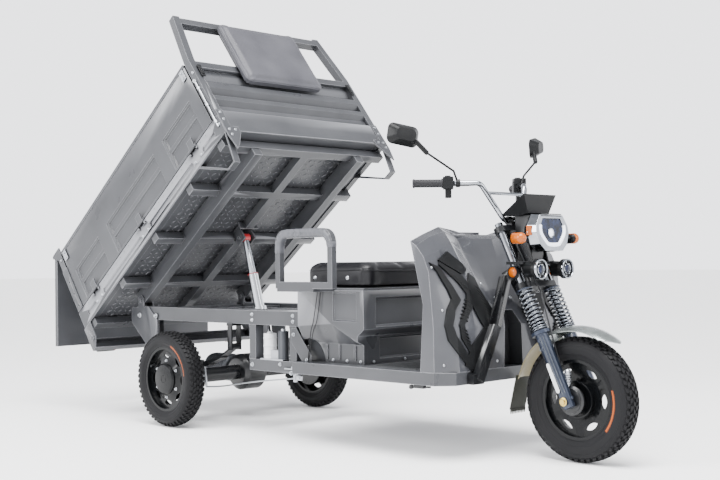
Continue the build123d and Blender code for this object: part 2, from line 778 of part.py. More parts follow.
def drive_motor():
    """Electric motor bolted behind the differential."""
    start = -motor_gap
    motor = rod((start - motor_l, 0, rear_r + motor_rise), (start, 0, rear_r + motor_rise), motor_d)
    return chamfer(motor.edges(), 8)


def hydraulic_unit():
    """Oil tank, valve block and pump motor in a row on the lower tube."""
    y = -rail_y + 10
    z0 = lower_tube_top_z
    x_tank = rear_post_x + 112
    x_pump = rear_post_x + 210
    unit = box(x_tank - 34, x_pump + 32, y - 34, y + 34, z0, z0 + 6)
    unit += rod((x_tank, y, z0), (x_tank, y, z0 + 124), 61)
    unit += rod((x_pump, y, z0), (x_pump, y, z0 + 138), 52)
    unit += rod((x_pump, y, z0 + 130), (x_pump, y, z0 + 148), 24)
    unit += rod((x_tank, y, z0 + 120), (x_tank, y, z0 + 132), 26)
    unit += box(x_tank + 20, x_pump - 16, y - 18, y + 18, z0, z0 + 46)
    return unit


# ---------------------------------------------------------------- load bed
def bed_floor():
    """Floor plate between the side rails, with the rails' pressed ladder slots."""
    x0 = bed_x(0)
    x1 = bed_x(bed_l)
    hw = bed_half_w
    deck = box(x0, x1, -hw + bed_rail_t, hw - bed_rail_t, bed_z(bed_floor_w), bed_z(bed_floor_w + bed_floor_t))
    rail = box(x0, x1, hw - bed_rail_t, hw, bed_z(0), bed_z(bed_rail_h))
    hinge_y = hw + side_hinge_out
    hinge_z = bed_z(bed_rail_h - side_hinge_down)
    for u in hinge_places:
        for end in (-34, 26):
            lug = rod((bed_x(u + end), hinge_y, hinge_z), (bed_x(u + end + 8), hinge_y, hinge_z), side_knuckle_d)
            lug += box(bed_x(u + end), bed_x(u + end + 8), hw, hinge_y, hinge_z - 20, hinge_z)
            rail += lug
        rail += rod((bed_x(u - 34), hinge_y, hinge_z), (bed_x(u + 34), hinge_y, hinge_z), side_pin_d)
    stops = (bed_x(30),) + tuple(bed_x(u) for u in hinge_places) + (bed_x(bed_l - 20),)
    for a, b in zip(stops, stops[1:]):
        if b - a > 160:
            long = b - a - 96
            slot = Plane(origin=((a + b) / 2, hw, bed_z(bed_rail_h * 0.46)), x_dir=(1, 0, 0), z_dir=(0, -1, 0))
            rail -= extrude(slot * SlotOverall(long, rail_slot_h), rail_slot_deep, taper=30)
    return deck + rail + mirrored(rail)


def bed_subframe():
    """Two bearers that sit over the chassis rails, and the cross channels."""
    y0 = rail_y - subframe_w / 2
    y1 = rail_y + subframe_w / 2
    top = bed_z(0)
    ear = pivot_ear_d / 2 - 2
    half = box(pivot_x, bed_x(bed_l - 60), y0, y1, pivot_z - ear, top)
    half += box(pivot_x - ear, pivot_x, y0, y1, pivot_z, top)
    half += rod((pivot_x, y0, pivot_z), (pivot_x, y1, pivot_z), 2 * ear)
    hole = rod((pivot_x, y0 - 1, pivot_z), (pivot_x, y1 + 1, pivot_z), pivot_pin_d + 2 * run_fit)
    half -= hole
    frame = half + mirrored(half)
    for u in (60.0, bed_l * 0.2625, bed_l * 0.5, bed_l * 0.7375, bed_l - 100):
        frame += box(bed_x(u), bed_x(u) + bearer_w, -bed_half_w + 8, bed_half_w - 8, bed_z(-bearer_h), top)
    frame += box(bed_x(60), bed_x(bed_l - 60), -25, 25, bed_z(-bearer_h), top)
    eye_x = bed_x(ram_top_u)
    pocket = box(eye_x - 60, eye_x + 60, -40, 40, bed_z(-bearer_h) - 1, top + 1)
    frame -= pocket
    for side in (-1, 1):
        y = side * (stage_d / 2 + 5)
        cheek = box(eye_x - 34, eye_x + 34, min(y, y + side * 8), max(y, y + side * 8),
                    bed_z(ram_top_w) - 26, bed_z(bed_floor_w))
        frame += cheek
        pin = rod((eye_x, y, bed_z(ram_top_w)), (eye_x, y + side * 18, bed_z(ram_top_w)), ram_pin_d)
        frame += pin
    for du in (-60, 52):
        frame += box(eye_x + du, eye_x + du + 8, -60, 60, bed_z(-bearer_h), top)
    frame += box(eye_x - 60, eye_x + 60, -40, 40, top - 6, top)
    return frame


def headboard():
    """Front frame of the bed: posts, three rails, ribbed sheet and inner uprights."""
    x1 = bed_x(bed_l)
    x0 = x1 - headboard_t
    hw = bed_half_w
    lean = 48.0
    t = headboard_tube
    post = slab_yz([(hw - t, bed_z(bed_rail_h)), (hw, bed_z(bed_rail_h)), (hw, bed_z(side_h)),
                    (hw - lean, bed_z(headboard_top)), (hw - lean - t, bed_z(headboard_top)),
                    (hw - t, bed_z(side_h))], x0, x1)
    board = post + mirrored(post)
    inner = hw - t + 1
    board += box(x0, x1, -inner, inner, bed_z(headboard_mid - t / 2), bed_z(headboard_mid + t / 2))
    board += box(x0, x1, -hw + lean + t / 2, hw - lean - t / 2, bed_z(headboard_top - 52),
                 bed_z(headboard_top - 52 + t))
    board += box(x0, x1, -hw, hw, bed_z(bed_rail_h), bed_z(bed_rail_h + 34))
    low = bed_rail_h + 30
    pitch = (headboard_mid - low) / 5
    waves = [(14, low)]
    for k in (1, 3):
        waves += [(14, low + pitch * k - 10), (2, low + pitch * k + 12), (2, low + pitch * (k + 1) - 12),
                  (14, low + pitch * (k + 1) + 10)]
    waves += [(14, headboard_mid)]
    sheet = [(x0 + dx, bed_z(w)) for dx, w in waves] + [(x0 + dx + 5, bed_z(w)) for dx, w in reversed(waves)]
    board += slab_xz(sheet, -inner, inner)
    for side in (-1, 1):
        lug = slab_yz([(side * (hw - 85), bed_z(30)), (side * hw, bed_z(30)), (side * hw, bed_z(-28)),
                       (side * (hw - 16), bed_z(-corner_lug_drop)), (side * (hw - 42), bed_z(-80)),
                       (side * (hw - 85), bed_z(-8))], x1, x1 + 6)
        for dy, w in ((24, -24), (60, 10), (24, 10)):
            lug -= rod((x1 - 1, side * (hw - dy), bed_z(w)), (x1 + 7, side * (hw - dy), bed_z(w)), 12)
        board += lug
        tie = box(x1, x1 + 6, min(side * (hw - 40), side * hw), max(side * (hw - 40), side * hw), bed_z(28),
                  bed_z(bed_rail_h + 34))
        board += tie
    for side in (-1, 1):
        y = side * 190.0
        board += box(x0, x1, y - 15, y + 15, bed_z(headboard_mid), bed_z(headboard_top - 40))
    apron = box(x0, x1, -hw + bed_rail_t, hw - bed_rail_t, bed_z(bed_floor_w + bed_floor_t),
                bed_z(bed_rail_h))
    return board + apron


def headboard_cushion():
    x0 = bed_x(bed_l) + seat_gap
    pad = box(x0, x0 + pad_t, -pad_half_w, pad_half_w, bed_z(pad_low), bed_z(pad_top))
    pad = fillet(pad.edges().filter_by(Axis.X), 40)
    return fillet(pad.faces().sort_by(Axis.X)[-1].edges(), 14)


def bed_tail():
    """Corner posts, the drop plates and the cross bar that carries the rear lamps."""
    hw = bed_half_w
    x0 = bed_x(8)
    lug_y = hw - gate_lug_t
    post = box(x0, x0 + post_w, hw - bed_rail_t, hw, bed_z(bed_rail_h), bed_z(gate_hinge_w - 14))
    hinge_x = bed_x(gate_hinge_u)
    hinge_z = bed_z(gate_hinge_w)
    post += rod((hinge_x, lug_y, hinge_z), (hinge_x, hw, hinge_z), 2 * gate_pin_d)
    post += box(hinge_x, x0 + post_w, lug_y, hw, hinge_z - 34, hinge_z + gate_pin_d)
    post += rod((hinge_x, hw - gate_end_gap - 22, hinge_z), (hinge_x, hw, hinge_z), gate_pin_d)
    plate = slab_xz([(bed_x(-10), bed_z(0)), (bed_x(66), bed_z(0)), (bed_x(60), bed_z(-96)),
                     (bed_x(20), bed_z(rear_bar_low)), (bed_x(-10), bed_z(rear_bar_low))],
                    hw - 6, hw)
    latch = box(bed_x(8), bed_x(60), hw, hw + 5, bed_z(bed_rail_h + 2), bed_z(gate_hinge_w * 0.74))
    for w in (bed_rail_h + 30, bed_rail_h + 110, bed_rail_h + 190):
        latch -= rod((bed_x(34), hw - 1, bed_z(w)), (bed_x(34), hw + 6, bed_z(w)), 13)
    bolt = rod((bed_x(38), hw - 6, bed_z(rear_bar_low + 52)), (bed_x(38), hw + 10, bed_z(rear_bar_low + 52)), 30)
    half = post + plate + latch + bolt
    tail = half + mirrored(half)
    bar = box(bed_x(-10), bed_x(24), -hw, hw, bed_z(rear_bar_low), bed_z(rear_bar_low + rear_bar_h))
    hollow = box(bed_x(-6), bed_x(40), -hw + 6, hw - 6, bed_z(rear_bar_low + 4),
                 bed_z(rear_bar_low + rear_bar_h - 4))
    return tail + (bar - hollow)


def tail_lamps():
    """Lamp units on the rear face of the tail's cross bar."""
    y0 = bed_half_w - 150
    lamp = box(bed_x(-36), bed_x(-10), y0, y0 + 110, bed_z(rear_bar_low + 8), bed_z(rear_bar_low + 52))
    return both_sides(lamp)


def corner_loops():
    """Bent straps under the bed's front corners."""
    y1 = bed_half_w
    y0 = y1 - loop_w
    t = loop_t
    low = bed_z(-loop_drop)
    outer = [(bed_x(bed_l - 270), bed_z(0)), (bed_x(bed_l - 100), low), (bed_x(bed_l - 40), low),
             (bed_x(bed_l - 4), bed_z(0))]
    inner = [(bed_x(bed_l - 254), bed_z(1)), (bed_x(bed_l - 96), low + t), (bed_x(bed_l - 46), low + t),
             (bed_x(bed_l - 4) - t, bed_z(1))]
    strap = slab_xz(outer, y0, y1) - slab_xz(inner, y0 - 1, y1 + 1)
    return both_sides(strap)


def tailgate():
    """Top-hung rear gate, ribbed outside, turning on the pins at its upper corners."""
    hw = bed_half_w - gate_end_gap
    hinge_x = bed_x(gate_hinge_u)
    hinge_z = bed_z(gate_hinge_w)
    x1 = hinge_x + gate_t / 2
    x0 = hinge_x - gate_t / 2
    z0 = bed_z(8)
    gate = box(x0, x1, -hw, hw, z0, hinge_z)
    gate += rod((hinge_x, -hw, hinge_z), (hinge_x, hw, hinge_z), gate_t)
    ribs = 6
    pitch = (2 * hw - 60) / ribs
    for k in range(ribs):
        y = -hw + 30 + pitch * k
        gate -= box(x0 - 1, x1 - 4, y + 14, y + pitch - 14, z0 + 50, hinge_z - 60)
    bore = rod((hinge_x, hw - 22, hinge_z), (hinge_x, hw + 1, hinge_z), gate_pin_d + 2 * run_fit)
    return gate - bore - mirrored(bore)


def side_panel():
    """Left drop side: flat band above, three pressed recesses below."""
    hw = bed_half_w
    x0 = bed_x(side_rear_u)
    x1 = bed_x(side_front_u)
    z0 = bed_z(bed_rail_h + 6)
    z1 = bed_z(side_h)
    panel = box(x0, x1, hw - side_t, hw, z0, z1)
    for low, high in tray_shares:
        u = bed_x(bed_l * (low + high) / 2)
        wide = bed_l * (high - low)
        inward = (0, -1, 0)
        along = (1, 0, 0)
        panel -= pressing((u, hw, bed_z((tray_low + tray_top) / 2)), wide, tray_top - tray_low, side_step,
                          inward, along)
        for a, b in ((tray_low + 6, tray_rib_low), (tray_rib_top, tray_top - 6)):
            panel -= pressing((u, hw - side_step, bed_z((a + b) / 2)), wide - 24, b - a, side_recess - side_step,
                              inward, along)
    panel += box(x0, x1, hw - 4, hw + side_lip, z1 - 16, z1)
    inner = box(x0 + 30, x1 - 30, hw - side_t - 1, hw - side_recess - side_skin_t, z0 + 30, z1 - 30)
    panel -= inner
    hinge_y = hw + side_hinge_out
    hinge_z = bed_z(bed_rail_h - side_hinge_down)
    for u in hinge_places:
        a = bed_x(u - 22)
        b = bed_x(u + 22)
        panel += rod((a, hinge_y, hinge_z), (b, hinge_y, hinge_z), side_knuckle_d)
        panel += box(a, b, hinge_y - side_knuckle_d / 2, hinge_y, hinge_z, z0 + 4)
        panel += box(a, b, hw, hinge_y, z0 + 2, z0 + 46)
        panel -= rod((a - 1, hinge_y, hinge_z), (b + 1, hinge_y, hinge_z), side_pin_d + 2 * run_fit)
    return panel


# ---------------------------------------------------------------- ram
def ram_axis():
    top_low = Vector(bed_x(ram_top_u), 0, bed_z(ram_top_w))
    rel = top_low - Vector(pivot_x, 0, pivot_z)
    a = radians(bed_rest_tilt)
    top = Vector(pivot_x + rel.X * cos(a) - rel.Z * sin(a), 0, pivot_z + rel.X * sin(a) + rel.Z * cos(a))
    return Vector(ram_low_x, 0, ram_low_z), top, top_low


ram_foot, ram_head, ram_head_low = ram_axis()
ram_open = (ram_head - ram_foot).length
ram_shut = (ram_head_low - ram_foot).length
ram_dir = (ram_head - ram_foot).normalized()
barrel_l = ram_shut - 34
stage_out = (ram_open - ram_shut) / 2


def ram():
    """Barrel, middle stage and rod of the telescopic ram, at the resting length."""
    foot = ram_foot
    eye = rod(tuple(foot + Vector(0, -ram_eye_w / 2, 0)), tuple(foot + Vector(0, ram_eye_w / 2, 0)), ram_eye_d)
    mouth = foot + ram_dir * barrel_l
    barrel = rod(tuple(foot), tuple(mouth), barrel_d) + eye
    barrel -= rod(tuple(foot + ram_dir * 30), tuple(mouth + ram_dir), stage_d + 2 * run_fit)
    barrel -= rod(tuple(foot + Vector(0, -55, 0)), tuple(foot + Vector(0, 55, 0)), ram_pin_d + 2 * run_fit)
    stage_foot = foot + ram_dir * (36 + stage_out)
    stage_mouth = stage_foot + ram_dir * (barrel_l - 30)
    stage = rod(tuple(stage_foot), tuple(stage_mouth), stage_d)
    stage -= rod(tuple(stage_foot + ram_dir * 8), tuple(stage_mouth + ram_dir), rod_d + 2 * run_fit)
    rod_foot = stage_foot + ram_dir * (10 + stage_out)
    rod_end = ram_head - ram_dir * (ram_eye_d / 2 - 4)
    inner = rod(tuple(rod_foot), tuple(rod_end), rod_d)
    ring = rod(tuple(ram_head + Vector(0, -ram_eye_w / 2, 0)), tuple(ram_head + Vector(0, ram_eye_w / 2, 0)),
               ram_eye_d)
    ring += inner
    ring -= rod(tuple(ram_head + Vector(0, -ram_eye_w, 0)), tuple(ram_head + Vector(0, ram_eye_w, 0)),
                ram_pin_d + 1)
    return barrel, stage, ring


# ---------------------------------------------------------------- steering
def on_leg(distance, side, back=0.0):
    return front_axle + fork_up * distance + fork_back * back + Vector(0, side * fork_half_w, 0)


def across(point, side):
    return Vector(point.X, side * point.Y, point.Z)


def on_head(distance):
    return head_axis_foot + fork_up * distance


def steering_head():
    """Lower and upper yokes joined by the stem."""
    parts = rod(tuple(on_head(yoke_low + 5)), tuple(on_head(yoke_high + yoke_t + 3)), stem_d)
    for distance in (yoke_low, yoke_high):
        base = Plane(origin=on_head(distance), x_dir=(0, 1, 0), z_dir=fork_up)
        rings = Circle(yoke_stem_r).edges()
        for side in (-1, 1):
            rings += (Pos(side * fork_half_w, -fork_offset) * Circle(yoke_leg_r)).edges()
        parts += extrude(base * make_hull(rings), yoke_t)
    for side in (-1, 1):
        parts -= rod(tuple(on_leg(440, side)), tuple(on_leg(800, side)), fork_tube_d)
    for side in (-1, 1):
        y0 = min(side * bar_clamp_in, side * bar_clamp_out)
        y1 = max(side * bar_clamp_in, side * bar_clamp_out)
        parts += rod((bar_clamp.X, y0, bar_clamp.Z), (bar_clamp.X, y1, bar_clamp.Z), bar_d + 14)
        foot = bar_clamp - fork_up * 36
        parts += square_tube((foot.X, (y0 + y1) / 2, foot.Z), (bar_clamp.X, (y0 + y1) / 2, bar_clamp.Z),
                             28, y1 - y0)
        parts -= rod((bar_clamp.X, y0 - 1, bar_clamp.Z), (bar_clamp.X, y1 + 1, bar_clamp.Z), bar_d)
    return parts


def fork_uppers():
    return Compound(children=[rod(tuple(on_leg(fork_tube_low, s)), tuple(on_leg(fork_tube_high, s)), fork_tube_d)
                              for s in (-1, 1)])


def fork_lowers():
    """Lower legs that flatten towards the axle, the axle and its nuts."""
    pieces = None
    for s in (-1, 1):
        leg = rod(tuple(on_leg(120, s)), tuple(on_leg(300, s)), fork_leg_d)
        wide = Plane(origin=on_leg(120, s), x_dir=(0, 1, 0), z_dir=fork_up) * RectangleRounded(
            fork_leg_d, fork_leg_d, fork_leg_d / 2 - 0.1)
        flat = Plane(origin=on_leg(-28, s), x_dir=(0, 1, 0), z_dir=fork_up) * RectangleRounded(34, 46, 12)
        leg += loft([wide, flat])
        leg -= rod(tuple(on_leg(fork_tube_low - 1, s)), tuple(on_leg(301, s)), fork_tube_d)
        seat = rod(tuple(on_leg(286, s)), tuple(on_leg(300, s)), spring_od + 6)
        seat -= rod(tuple(on_leg(285, s)), tuple(on_leg(301, s)), fork_tube_d)
        leg += seat
        pieces = leg if pieces is None else Compound(children=[pieces, leg])
    end = fork_half_w + 34
    axle = rod((wheelbase, -end, front_r), (wheelbase, end, front_r), axle_d)
    for s in (-1, 1):
        nut = Plane(origin=(wheelbase, s * (fork_half_w + 16), front_r), z_dir=(0, s, 0)) * RegularPolygon(15, 6)
        axle += extrude(nut, 12)
    return pieces.fuse(axle)


def fork_springs():
    """Coil springs round the fork tubes between the leg tops and the lower yoke."""
    low = 300.1
    high = 490.0
    children = []
    for s in (-1, 1):
        start = on_leg(low, s)
        pitch = (high - low - spring_wire_d) / spring_turns
        helix = Helix(pitch=pitch, height=high - low - spring_wire_d, radius=(spring_od - spring_wire_d) / 2)
        profile = Plane(origin=helix @ 0, z_dir=helix % 0) * Circle(spring_wire_d / 2)
        coil = sweep(profile, path=helix, is_frenet=True)
        plane = Plane(origin=start + fork_up * (spring_wire_d / 2), z_dir=fork_up)
        children.append(plane.location * coil)
    return Compound(children=children)


def mudguard():
    """Domed guard over the front tyre with a pointed nose, its tabs to the legs and a rear flap."""
    crown = guard_crown_r
    edge = guard_edge_r
    w = guard_half_w
    t = guard_t
    outline = [ThreePointArc((edge, -w), (crown, 0), (edge, w)), Line((edge, w), (edge - t, w)),
               ThreePointArc((edge - t, w), (crown - t, 0), (edge - t, -w)), Line((edge - t, -w), (edge, -w))]
    ring = revolve(make_face(outline), Axis.Y, guard_rear_deg - guard_front_deg)
    guard = Pos(wheelbase, 0, front_r) * ring.rotate(Axis.Y, -guard_rear_deg)
    tip = wheelbase + crown * cos(radians(guard_front_deg))
    plan = [(wheelbase - crown - 10, -w - 8), (tip - 78, -w - 8), (tip - 38, -w + 12), (tip - 10, -22), (tip + 1, 0),
            (tip - 10, 22), (tip - 38, w - 12), (tip - 78, w + 8), (wheelbase - crown - 10, w + 8)]
    guard &= slab_xy(plan, front_r, front_r + crown + 20)
    for s in (-1, 1):
        guard += box(wheelbase - 150, wheelbase - 90, min(s * 58, s * 72), max(s * 58, s * 72),
                     front_r + 190, front_r + 240)
        guard -= rod(tuple(on_leg(-20, s)), tuple(on_leg(320, s)), fork_leg_d + 0.6)
    root_x = wheelbase + crown * cos(radians(guard_rear_deg))
    root_z = front_r + crown * sin(radians(guard_rear_deg))
    flap = slab_xz([(root_x + 1, root_z + 8), (root_x + 5, root_z + 8), (root_x - 33, front_r + flap_low_up),
                    (root_x - 37, front_r + flap_low_up)], -flap_half_w, flap_half_w)
    return guard + flap


def handlebar():
    """One bent tube: clamp, risers and straight ends, with a brace between the risers."""
    right = [across(p, -1) for p in (bar_end, bar_bend, bar_clamp)]
    left = [across(p, 1) for p in (bar_clamp, bar_bend, bar_end)]
    path = FilletPolyline(right + left, radius=34)
    tube = sweep(Plane(origin=path @ 0, z_dir=path % 0) * Circle(bar_d / 2), path=path)
    brace = bar_clamp + (bar_bend - bar_clamp) * 0.74
    tube += rod(tuple(across(brace, -1)), tuple(across(brace, 1)), 14)
    return tube


def grips():
    children = []
    for s in (-1, 1):
        end = across(bar_end, s)
        d = (end - across(bar_bend, s)).normalized()
        grip = rod(tuple(end - d * grip_l), tuple(end + d * 4), grip_d)
        grip -= rod(tuple(end - d * (grip_l + 1)), tuple(end), bar_d)
        children.append(grip)
    return Compound(children=children)


def controls():
    """Switch boxes and levers beside the grips."""
    children = []
    for s in (-1, 1):
        end = across(bar_end, s)
        d = (end - across(bar_bend, s)).normalized()
        pod = rod(tuple(end - d * (grip_l + 44)), tuple(end - d * (grip_l + 2)), 46)
        pod -= rod(tuple(end - d * (grip_l + 60)), tuple(end - d * (grip_l - 10)), bar_d)
        children.append(pod)
    return Compound(children=children)


def mirrors():
    """Handlebar mirrors: clamp, bent stem, tapered boot and a domed housing toed in to the rider."""
    children = []
    turn = radians(mirror_turn)
    for s in (-1, 1):
        along = (bar_end - bar_bend).normalized()
        seat = bar_bend + along * ((mirror_root_y - bar_bend.Y) / along.Y)
        root = across(seat, s)
        knee = root + Vector(0, s * 26, 50)
        head = across(from_axle(*mirror_head_at), s)
        neck = across(from_axle(*mirror_neck_at), s)
        facing = Vector(-cos(turn), -s * sin(turn), 0)
        out = Vector(-sin(turn), s * cos(turn), 0)
        span = (out + Vector(0, 0, 0.17)).normalized()
        glass = Plane(origin=head + facing * 8, x_dir=span, z_dir=facing) * RectangleRounded(mirror_w, mirror_h, 26)
        dome = Plane(origin=head - facing * (mirror_deep - 8), x_dir=span, z_dir=facing) * RectangleRounded(
            mirror_w * 0.62, mirror_h * 0.56, 20)
        shell = loft([glass, dome])
        boot_top = head - out * (mirror_w * 0.36) - Vector(0, 0, mirror_h * 0.3) - facing * 10
        stem = rod(tuple(root), tuple(knee), 9) + rod(tuple(knee), tuple(neck), 9) + Pos(*knee) * Sphere(4.5)
        stem += rod(tuple(neck), tuple(boot_top), 20) + Pos(*neck) * Sphere(10)
        run = across(along, s)
        ring = rod(tuple(root - run * 9), tuple(root + run * 9), bar_d + 12)
        children.append(stem + shell + ring - rod(tuple(root - run * 30), tuple(root + run * 30), bar_d))
    return Compound(children=children)


def dash_cluster():
    """Flared instrument hood over the headlamp, narrow at the foot and wide at its front lip."""
    outline = [(wheelbase - back, front_r + up) for back, up in dash_profile]
    hood = slab_xz(outline, -dash_half_w, dash_half_w)
    low = front_r + dash_low_up - 1
    top = front_r + dash_top_up + 1
    x0 = wheelbase - bracket_back - 100
    hood &= slab_yz([(-dash_foot_half_w, low), (dash_foot_half_w, low), (dash_half_w, top), (-dash_half_w, top)],
                    x0, x0 + 240)
    for side in (-1, 1):
        hood -= rod(tuple(across(bar_clamp, side)), tuple(across(bar_bend, side)), bar_d + 2)
    return hood


def lamp_face(outline, back, scale, lean=0.1):
    """A many-sided outline across the lamp, leaning with the fork, at a distance behind the axle."""
    right = [(y * scale, lamp_mid_up + (up - lamp_mid_up) * scale) for y, up in outline]
    ring = right + [(-y, up) for y, up in reversed(right)]
    corners = [from_axle(back - (lamp_mid_up - up) * lean, y, up) for y, up in ring]
    return make_face(Polyline(corners, close=True))


def headlamp():
    """Faceted lamp housing that swells to a bezel, and the lens let into its face."""
    shell = loft([lamp_face(lamp_outline, lamp_back, 0.78, 0), lamp_face(lamp_outline, lamp_waist_back, 1.0, 0.05),
                  lamp_face(lamp_outline, lamp_face_back, 0.95)], ruled=True)
    hole = loft([lamp_face(lens_outline, lamp_face_back + lens_deep, 1.0),
                 lamp_face(lens_outline, lamp_face_back - 9, 1.0)], ruled=True)
    lens = loft([lamp_face(lens_outline, lamp_face_back + lens_deep - 0.3, 0.99),
                 lamp_face(lens_outline, lamp_face_back + 3, 0.97)], ruled=True)
    return shell - hole, lens


def lamp_bracket():
    """Black carrier from the fork tubes to the lamps, with the clips for the side reflectors."""
    x0 = wheelbase - bracket_back
    x1 = wheelbase - bracket_front
    z0 = front_r + bracket_up
    z1 = z0 + bracket_t
    box_low = front_r + bracket_box_up
    bracket = box(x0, x1, -bracket_half_w, bracket_half_w, z0, z1)
    bracket += box(x0 + 26, x1 - 16, -40, 40, z1, box_low)
    bracket += box(x0 - 8, wheelbase - lamp_back - seat_gap, -50, 50, box_low, front_r + dash_low_up + 4)
    for s in (-1, 1):
        low = min(s * 50, s * 56)
        high = max(s * 50, s * 56)
        bracket += slab_xz([(x0 + 6, z1 - 2), (x1, z1 - 2), (x1 - 22, box_low - 16),
                            (wheelbase - lamp_back - seat_gap, box_low + 30), (x0 + 10, box_low + 30)], low, high)
        bracket += rod(tuple(on_leg(reflector_along - 12, s)), tuple(on_leg(reflector_along + 12, s)), fork_tube_d + 10)
        bracket -= rod(tuple(on_leg(fork_tube_low, s)), tuple(on_leg(fork_tube_high, s)), fork_tube_d)
    bracket -= dash_cluster()
    return bracket


def ring_lamps():
    """Two round auxiliary lamps: a can behind, a bezel and a sunk lens."""
    children = []
    back = wheelbase - bracket_front
    front = wheelbase - ring_lamp_front
    z = front_r + ring_lamp_up
    for s in (-1, 1):
        y = s * ring_lamp_y
        lamp = rod((back, y, z), (front - 20, y, z), ring_lamp_d - 18)
        lamp += rod((front - 24, y, z), (front, y, z), ring_lamp_d)
        lamp -= rod((front - 8, y, z), (front + 1, y, z), ring_lamp_d - 12)
        children.append(lamp)
    return Compound(children=children)


def indicators():
    """Bullet-shaped turn lamps on stalks from the headlamp, and round reflectors on the fork tubes."""
    shell = headlamp()[0]
    children = []
    for s in (-1, 1):
        centre = across(from_axle(*indicator_at), s)
        stalk = rod((centre.X - 12, s * 100, centre.Z + 8), (centre.X, s * (centre.Y * s - 12), centre.Z), 11) - shell
        bullet = rod((centre.X - 22, centre.Y, centre.Z), (centre.X + 12, centre.Y, centre.Z), indicator_d)
        bullet += Pos(centre.X + 12, centre.Y, centre.Z) * Sphere(indicator_d / 2)
        children.append(stalk + bullet)
        mid = on_leg(reflector_along, s)
        y = s * (fork_half_w + fork_tube_d / 2 + 5)
        children.append(rod((mid.X, y + s * 0.2, mid.Z), (mid.X, y + s * 9, mid.Z), reflector_d))
    return Compound(children=children)


# ---------------------------------------------------------------- write the parts
def build():
    tyre_l, rim_l = rear_wheel(1)
    tyre_r, rim_r = rear_wheel(-1)
    front_t, front_m = front_wheel()
    barrel, stage, inner = ram()
    lamp_shell, lamp_lens = headlamp()
    gate = raise_bed(tailgate())
    hinge = raise_bed(Pos(bed_x(gate_hinge_u), 0, bed_z(gate_hinge_w)) * Box(1, 1, 1)).center()
    gate = gate.rotate(Axis(tuple(hinge), (0, 1, 0)), bed_rest_tilt)
    side_l = side_panel()
    parts = {
        "chassis_frame": chassis_frame() + rear_gussets(),
        "floor_pan": floor_pan(),
        "seat_box": seat_box(),
        "seat_cushion": seat_cushion(),
        "battery_pack": battery_pack(),
        "armrest": armrest(),
        "cowl": cowl(),
        "cowl_trims": cowl_trims(),
        "head_frame": head_frame(),
        "leaf_springs": Compound(children=[leaf_springs(), spring_shackles()]),
        "rear_axle": rear_axle(),
        "drive_motor": drive_motor(),
        "hydraulic_unit": hydraulic_unit(),
        "rear_tyre_left": tyre_l,
        "rear_rim_left": rim_l,
        "rear_tyre_right": tyre_r,
        "rear_rim_right": rim_r,
        "front_tyre": front_t,
        "front_rim": front_m,
        "bed_floor": raise_bed(bed_floor()),
        "bed_subframe": raise_bed(bed_subframe() + corner_loops()),
        "headboard": raise_bed(headboard()),
        "headboard_cushion": raise_bed(headboard_cushion()),
        "bed_tail": raise_bed(bed_tail()),
        "tail_lamps": raise_bed(tail_lamps()),
        "tailgate": gate,
        "side_panel_left": raise_bed(side_l),
        "side_panel_right": raise_bed(mirrored(side_l)),
        "ram_barrel": barrel,
        "ram_stage": stage,
        "ram_rod": inner,
        "steering_head": steering_head(),
        "fork_uppers": fork_uppers(),
        "fork_lowers": fork_lowers(),
        "fork_springs": fork_springs(),
        "front_mudguard": mudguard(),
        "handlebar": handlebar(),
        "grips": Compound(children=list(grips().children) + list(controls().children)),
        "mirrors": mirrors(),
        "dash_cluster": dash_cluster(),
        "headlamp_shell": lamp_shell,
        "headlamp_lens": lamp_lens,
        "lamp_bracket": lamp_bracket(),
        "ring_lamps": ring_lamps(),
        "indicators": indicators(),
    }
    for name, shape in parts.items():
        save(name, shape)
    print("tilt pivot", pivot_x, pivot_z, "gate hinge", tuple(hinge))
    print("ram open", ram_open, "shut", ram_shut, "foot", tuple(ram_foot), "head", tuple(ram_head))


build()
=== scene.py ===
import bpy
import bmesh
import json
from math import atan2, cos, hypot, pi, radians, sin, tan
from mathutils import Matrix, Quaternion, Vector
from mathutils.bvhtree import BVHTree

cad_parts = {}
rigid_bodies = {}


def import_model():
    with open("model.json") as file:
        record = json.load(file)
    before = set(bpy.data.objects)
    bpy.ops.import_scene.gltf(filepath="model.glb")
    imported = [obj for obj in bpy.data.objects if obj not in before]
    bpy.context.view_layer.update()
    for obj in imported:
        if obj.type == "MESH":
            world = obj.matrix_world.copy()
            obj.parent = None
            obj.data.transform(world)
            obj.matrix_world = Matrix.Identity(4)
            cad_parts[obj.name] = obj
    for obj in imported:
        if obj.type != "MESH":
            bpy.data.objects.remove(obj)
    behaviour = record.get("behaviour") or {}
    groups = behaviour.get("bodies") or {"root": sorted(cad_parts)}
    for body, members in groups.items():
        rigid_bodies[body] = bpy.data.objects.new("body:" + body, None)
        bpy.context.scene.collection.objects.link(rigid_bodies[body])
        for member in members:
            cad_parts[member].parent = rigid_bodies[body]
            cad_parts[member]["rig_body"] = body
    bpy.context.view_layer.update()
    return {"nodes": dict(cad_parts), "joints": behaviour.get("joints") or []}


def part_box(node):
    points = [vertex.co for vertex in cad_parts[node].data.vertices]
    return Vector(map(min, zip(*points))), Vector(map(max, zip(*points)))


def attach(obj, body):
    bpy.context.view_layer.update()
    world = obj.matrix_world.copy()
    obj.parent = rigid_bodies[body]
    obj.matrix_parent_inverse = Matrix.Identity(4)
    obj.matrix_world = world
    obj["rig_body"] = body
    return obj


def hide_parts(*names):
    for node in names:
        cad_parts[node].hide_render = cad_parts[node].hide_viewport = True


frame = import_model()


# ------------------------------------------------------------------ viewpoint
# Where the vehicle is seen from: low, ahead of its right side, with a lens a
# little longer than normal.
def held(name, data):
    """A new object for a mesh, camera or light, linked to the scene."""
    made = bpy.data.objects.new(name, data)
    bpy.context.scene.collection.objects.link(made)
    return made


